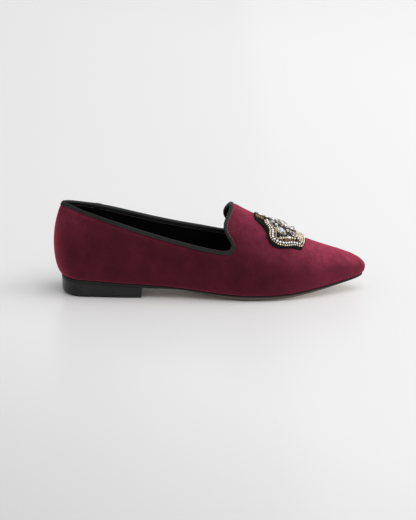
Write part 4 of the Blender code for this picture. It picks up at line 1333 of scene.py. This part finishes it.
def makeFinial(shell):
    # bugle beads laid across the throat end, one beside the other along the ridge
    lift = feltTop + finial["lift"]
    along = np.linspace(*finial["along"])
    for side in bothSides:
        flat = np.stack([along, np.full(len(along), side * finial["round"])], axis=-1)
        run = crestPoint(*(flat + (0, side)).T, lift) - crestPoint(*flat.T, lift)
        origin, axes = frameAt(flat, run, lift)
        tone = rng.uniform(finial["tone"], 1, len(along))
        shell.copies(roundBar(finial["corners"]), origin, axes, finial["size"], tone)


def makeGround(shell):
    # jet beads on a staggered lattice wherever nothing else stands
    step, lift, clear = ground["pitch"], feltTop + ground["lift"], ground["clear"]
    a, b = np.meshgrid(np.arange(*ground["along"], step), np.arange(*ground["round"], step), indexing="ij")
    a = a + step / 2 * (np.arange(a.shape[1]) % 2)
    spots = np.stack([a.ravel(), b.ravel()], axis=-1)
    spots = spots + rng.uniform(-ground["jitter"], ground["jitter"], spots.shape)
    keep = insideOutline(spots, ground["inset"])
    for stone in sum(stones.values(), ()):
        keep &= (((spots - stone[:2]) / (stone[2] + clear, stone[3] + clear)) ** 2).sum(1) > 1
    for name in ("silver", "lobe", "pale"):
        for row in beadRows[name]["runs"]:
            keep &= gapTo(spots, crestRow(*row)) > ground["width"]
    spots = spots[keep]
    angle = rng.uniform(0, np.pi, len(spots))
    ahead = spots + np.stack([np.cos(angle), np.sin(angle)], axis=-1)
    run = crestPoint(*ahead.T, lift) - crestPoint(*spots.T, lift)
    origin, axes = frameAt(spots, run, lift + swell(spots))
    size = np.array((ground["length"], ground["width"], ground["width"]))
    sizes = size * rng.uniform(*ground["sizes"], (len(spots), 1))
    shell.copies(beadShape, origin, axes, sizes, rng.uniform(0, 1, len(spots)))


def makeCrest():
    # felt, rows of beads, chain, set stones with rings round the large ones, bugles, ground
    makeFelt()
    gold, bronze, cream, cups, clear, smoke, jet = (Shell() for _ in range(7))
    for bead, shell in zip(beadRows.values(), (gold, bronze, gold, cream, cups)):
        for row in bead["runs"]:
            beadRow(shell, crestRow(*row), bead)
    makeChain(cups, clear)
    for group in stones:
        setStones(smoke if group == "smoke" else clear, group)
    for stone in stones["clear"] + stones["smoke"]:
        beadRow(gold, ovalPath(stone), ring)
    makeFinial(bronze)
    makeGround(jet)
    gold.piece("goldBeads", beadMaterial(beadLooks["goldBead"]), "beads", "crest_border")
    bronze.piece("bronzeBeads", beadMaterial(beadLooks["bronzeBead"]), "beads")
    cream.piece("creamBeads", beadMaterial(beadLooks["creamBead"]), "beads")
    cups.piece("crystalCups", beadMaterial(beadLooks["silverCup"]), "beads", smooth=False)
    clear.piece("clearStones", beadMaterial(beadLooks["foiledCrystal"]), "stone",
                "crest_stone_1", "crest_stone_2", "crest_stone_3", smooth=False)
    smoke.piece("smokeStones", beadMaterial(beadLooks["smokeStone"]), "stone",
                "crest_stone_4", "crest_stone_5", smooth=False)
    jet.piece("jetBeads", beadMaterial(beadLooks["jetBead"]), "bead_ground", "crest_field")


makeCrest()

# floor, light, camera
studio = {
    # painted light: the floor's grey is paler to the back and right and darker to the front and left, where
    # light falls off: reach of x, run of x + y, then (place, grey) along it
    "floor": 6.0, "floorDrop": 0.0003, "floorReach": 0.33, "floorRun": (-0.6, 1.9),
    "floorLightFalloff": ((0.0, 0.59), (0.14, 0.755), (0.44, 0.835), (0.76, 0.95), (1.0, 0.99)),
    # painted light: the floor glows under the toe to lift the shadow there, its colour dimmed by a share so
    # the lit floor stays as bright: x of its start and end, strength, share of the colour it replaces
    "toeShadowLift": (0.032, 0.090, 0.19, 0.22),
    "floorLook": {"name": "paleFloor", "roughness": 0.32, "specular": 0.3, "glow": 1.0},
    "world": (1.0, 1.0, 1.0), "worldStrength": 0.61,
    # name, place, aim, size, watts, colour
    "lights": (("keySoftbox", (1.3, -0.7, 3.1), (0, 0, 0.02), (3.4, 3.4), 70.0, (1.0, 1.0, 1.0)),
               ("rightFill", (2.8, 0.1, 1.0), (0.05, 0, 0.03), (1.6, 1.2), 27.0, (1.0, 1.0, 1.0)),
               ("frontFill", (0.6, -2.6, 0.45), (0.0, 0, 0.02), (2.0, 0.6), 12.0, (1.0, 1.0, 1.0))),
}
camera = {"target": (-0.0015, 0.0, 0.0252), "distance": 1.6, "elevation": 16.0, "lens": 131.5, "sensor": 36.0,
          "farthest": 50.0}


def makeFloor():
    # large square: painted light in its grey by x + y with x held within its reach, and a painted glow that
    # rises smoothly with x
    mesh = bpy.data.meshes.new("studioFloor")
    half = studio["floor"]
    corners = [(-half, -half, 0), (half, -half, 0), (half, half, 0), (-half, half, 0)]
    mesh.from_pydata(corners, [], [(0, 1, 2, 3)])
    material, tree, inputs = newMaterial(studio["floorLook"])
    x, y = (axisNode(tree, objectPlace(tree), axis) for axis in "XY")
    reach = studio["floorReach"]
    aside = rangeNode(tree, x, -reach, reach, -reach, reach)
    back = rangeNode(tree, mathNode(tree, "ADD", aside, y), *studio["floorRun"])
    grey = rampNode(tree, back, *((spot, (tone,) * 3) for spot, tone in studio["floorLightFalloff"]))
    # painted light: glow under the toe lifting its shadow, with the colour dimmed to match
    start, end, glow, share = studio["toeShadowLift"]
    dimming = rangeNode(tree, x, start, end, 1.0, 1.0 - share, smooth=True)
    feed(tree, scaleNode(tree, grey, dimming), inputs["Base Color"])
    feed(tree, rangeNode(tree, x, start, end, 0.0, glow, smooth=True), inputs["Emission Color"])
    mesh.materials.append(material)
    floor = addObject("studioFloor", mesh)
    floor.location.z = -studio["floorDrop"]


def aim(thing, spot, target):
    # put a thing at a spot and turn it to the target: tilt off the vertical, then turn round it
    thing.location = spot
    x, y, z = np.subtract(spot, target)
    thing.rotation_euler = (math.atan2(math.hypot(x, y), z), 0, math.atan2(x, -y))


def makeLights():
    # even white surroundings and a softbox for each row of the table
    world = bpy.data.worlds.new("studioWorld")
    bpy.context.scene.world = world
    world.use_nodes = True
    sky = world.node_tree.nodes["Background"]
    sky.inputs["Color"].default_value = (*studio["world"], 1.0)
    sky.inputs["Strength"].default_value = studio["worldStrength"]
    for name, spot, target, size, watts, colour in studio["lights"]:
        lamp = bpy.data.lights.new(name, "AREA")
        lamp.shape = "RECTANGLE"
        lamp.size, lamp.size_y = size
        lamp.energy, lamp.color = watts, colour
        aim(addObject(name, lamp), spot, target)


def makeCamera():
    # on a circle round the target, raised by the elevation
    lens = bpy.data.cameras.new("photoCamera")
    lens.lens, lens.sensor_width, lens.clip_end = camera["lens"], camera["sensor"], camera["farthest"]
    lift, reach = math.radians(camera["elevation"]), camera["distance"]
    spot = np.add(camera["target"], (0, -reach * math.cos(lift), reach * math.sin(lift)))
    bpy.context.scene.camera = addObject("photoCamera", lens)
    aim(bpy.context.scene.camera, tuple(spot), camera["target"])


makeFloor()
makeLights()
makeCamera()
bpy.context.scene.view_settings.view_transform = "Standard"
print("studio ready")
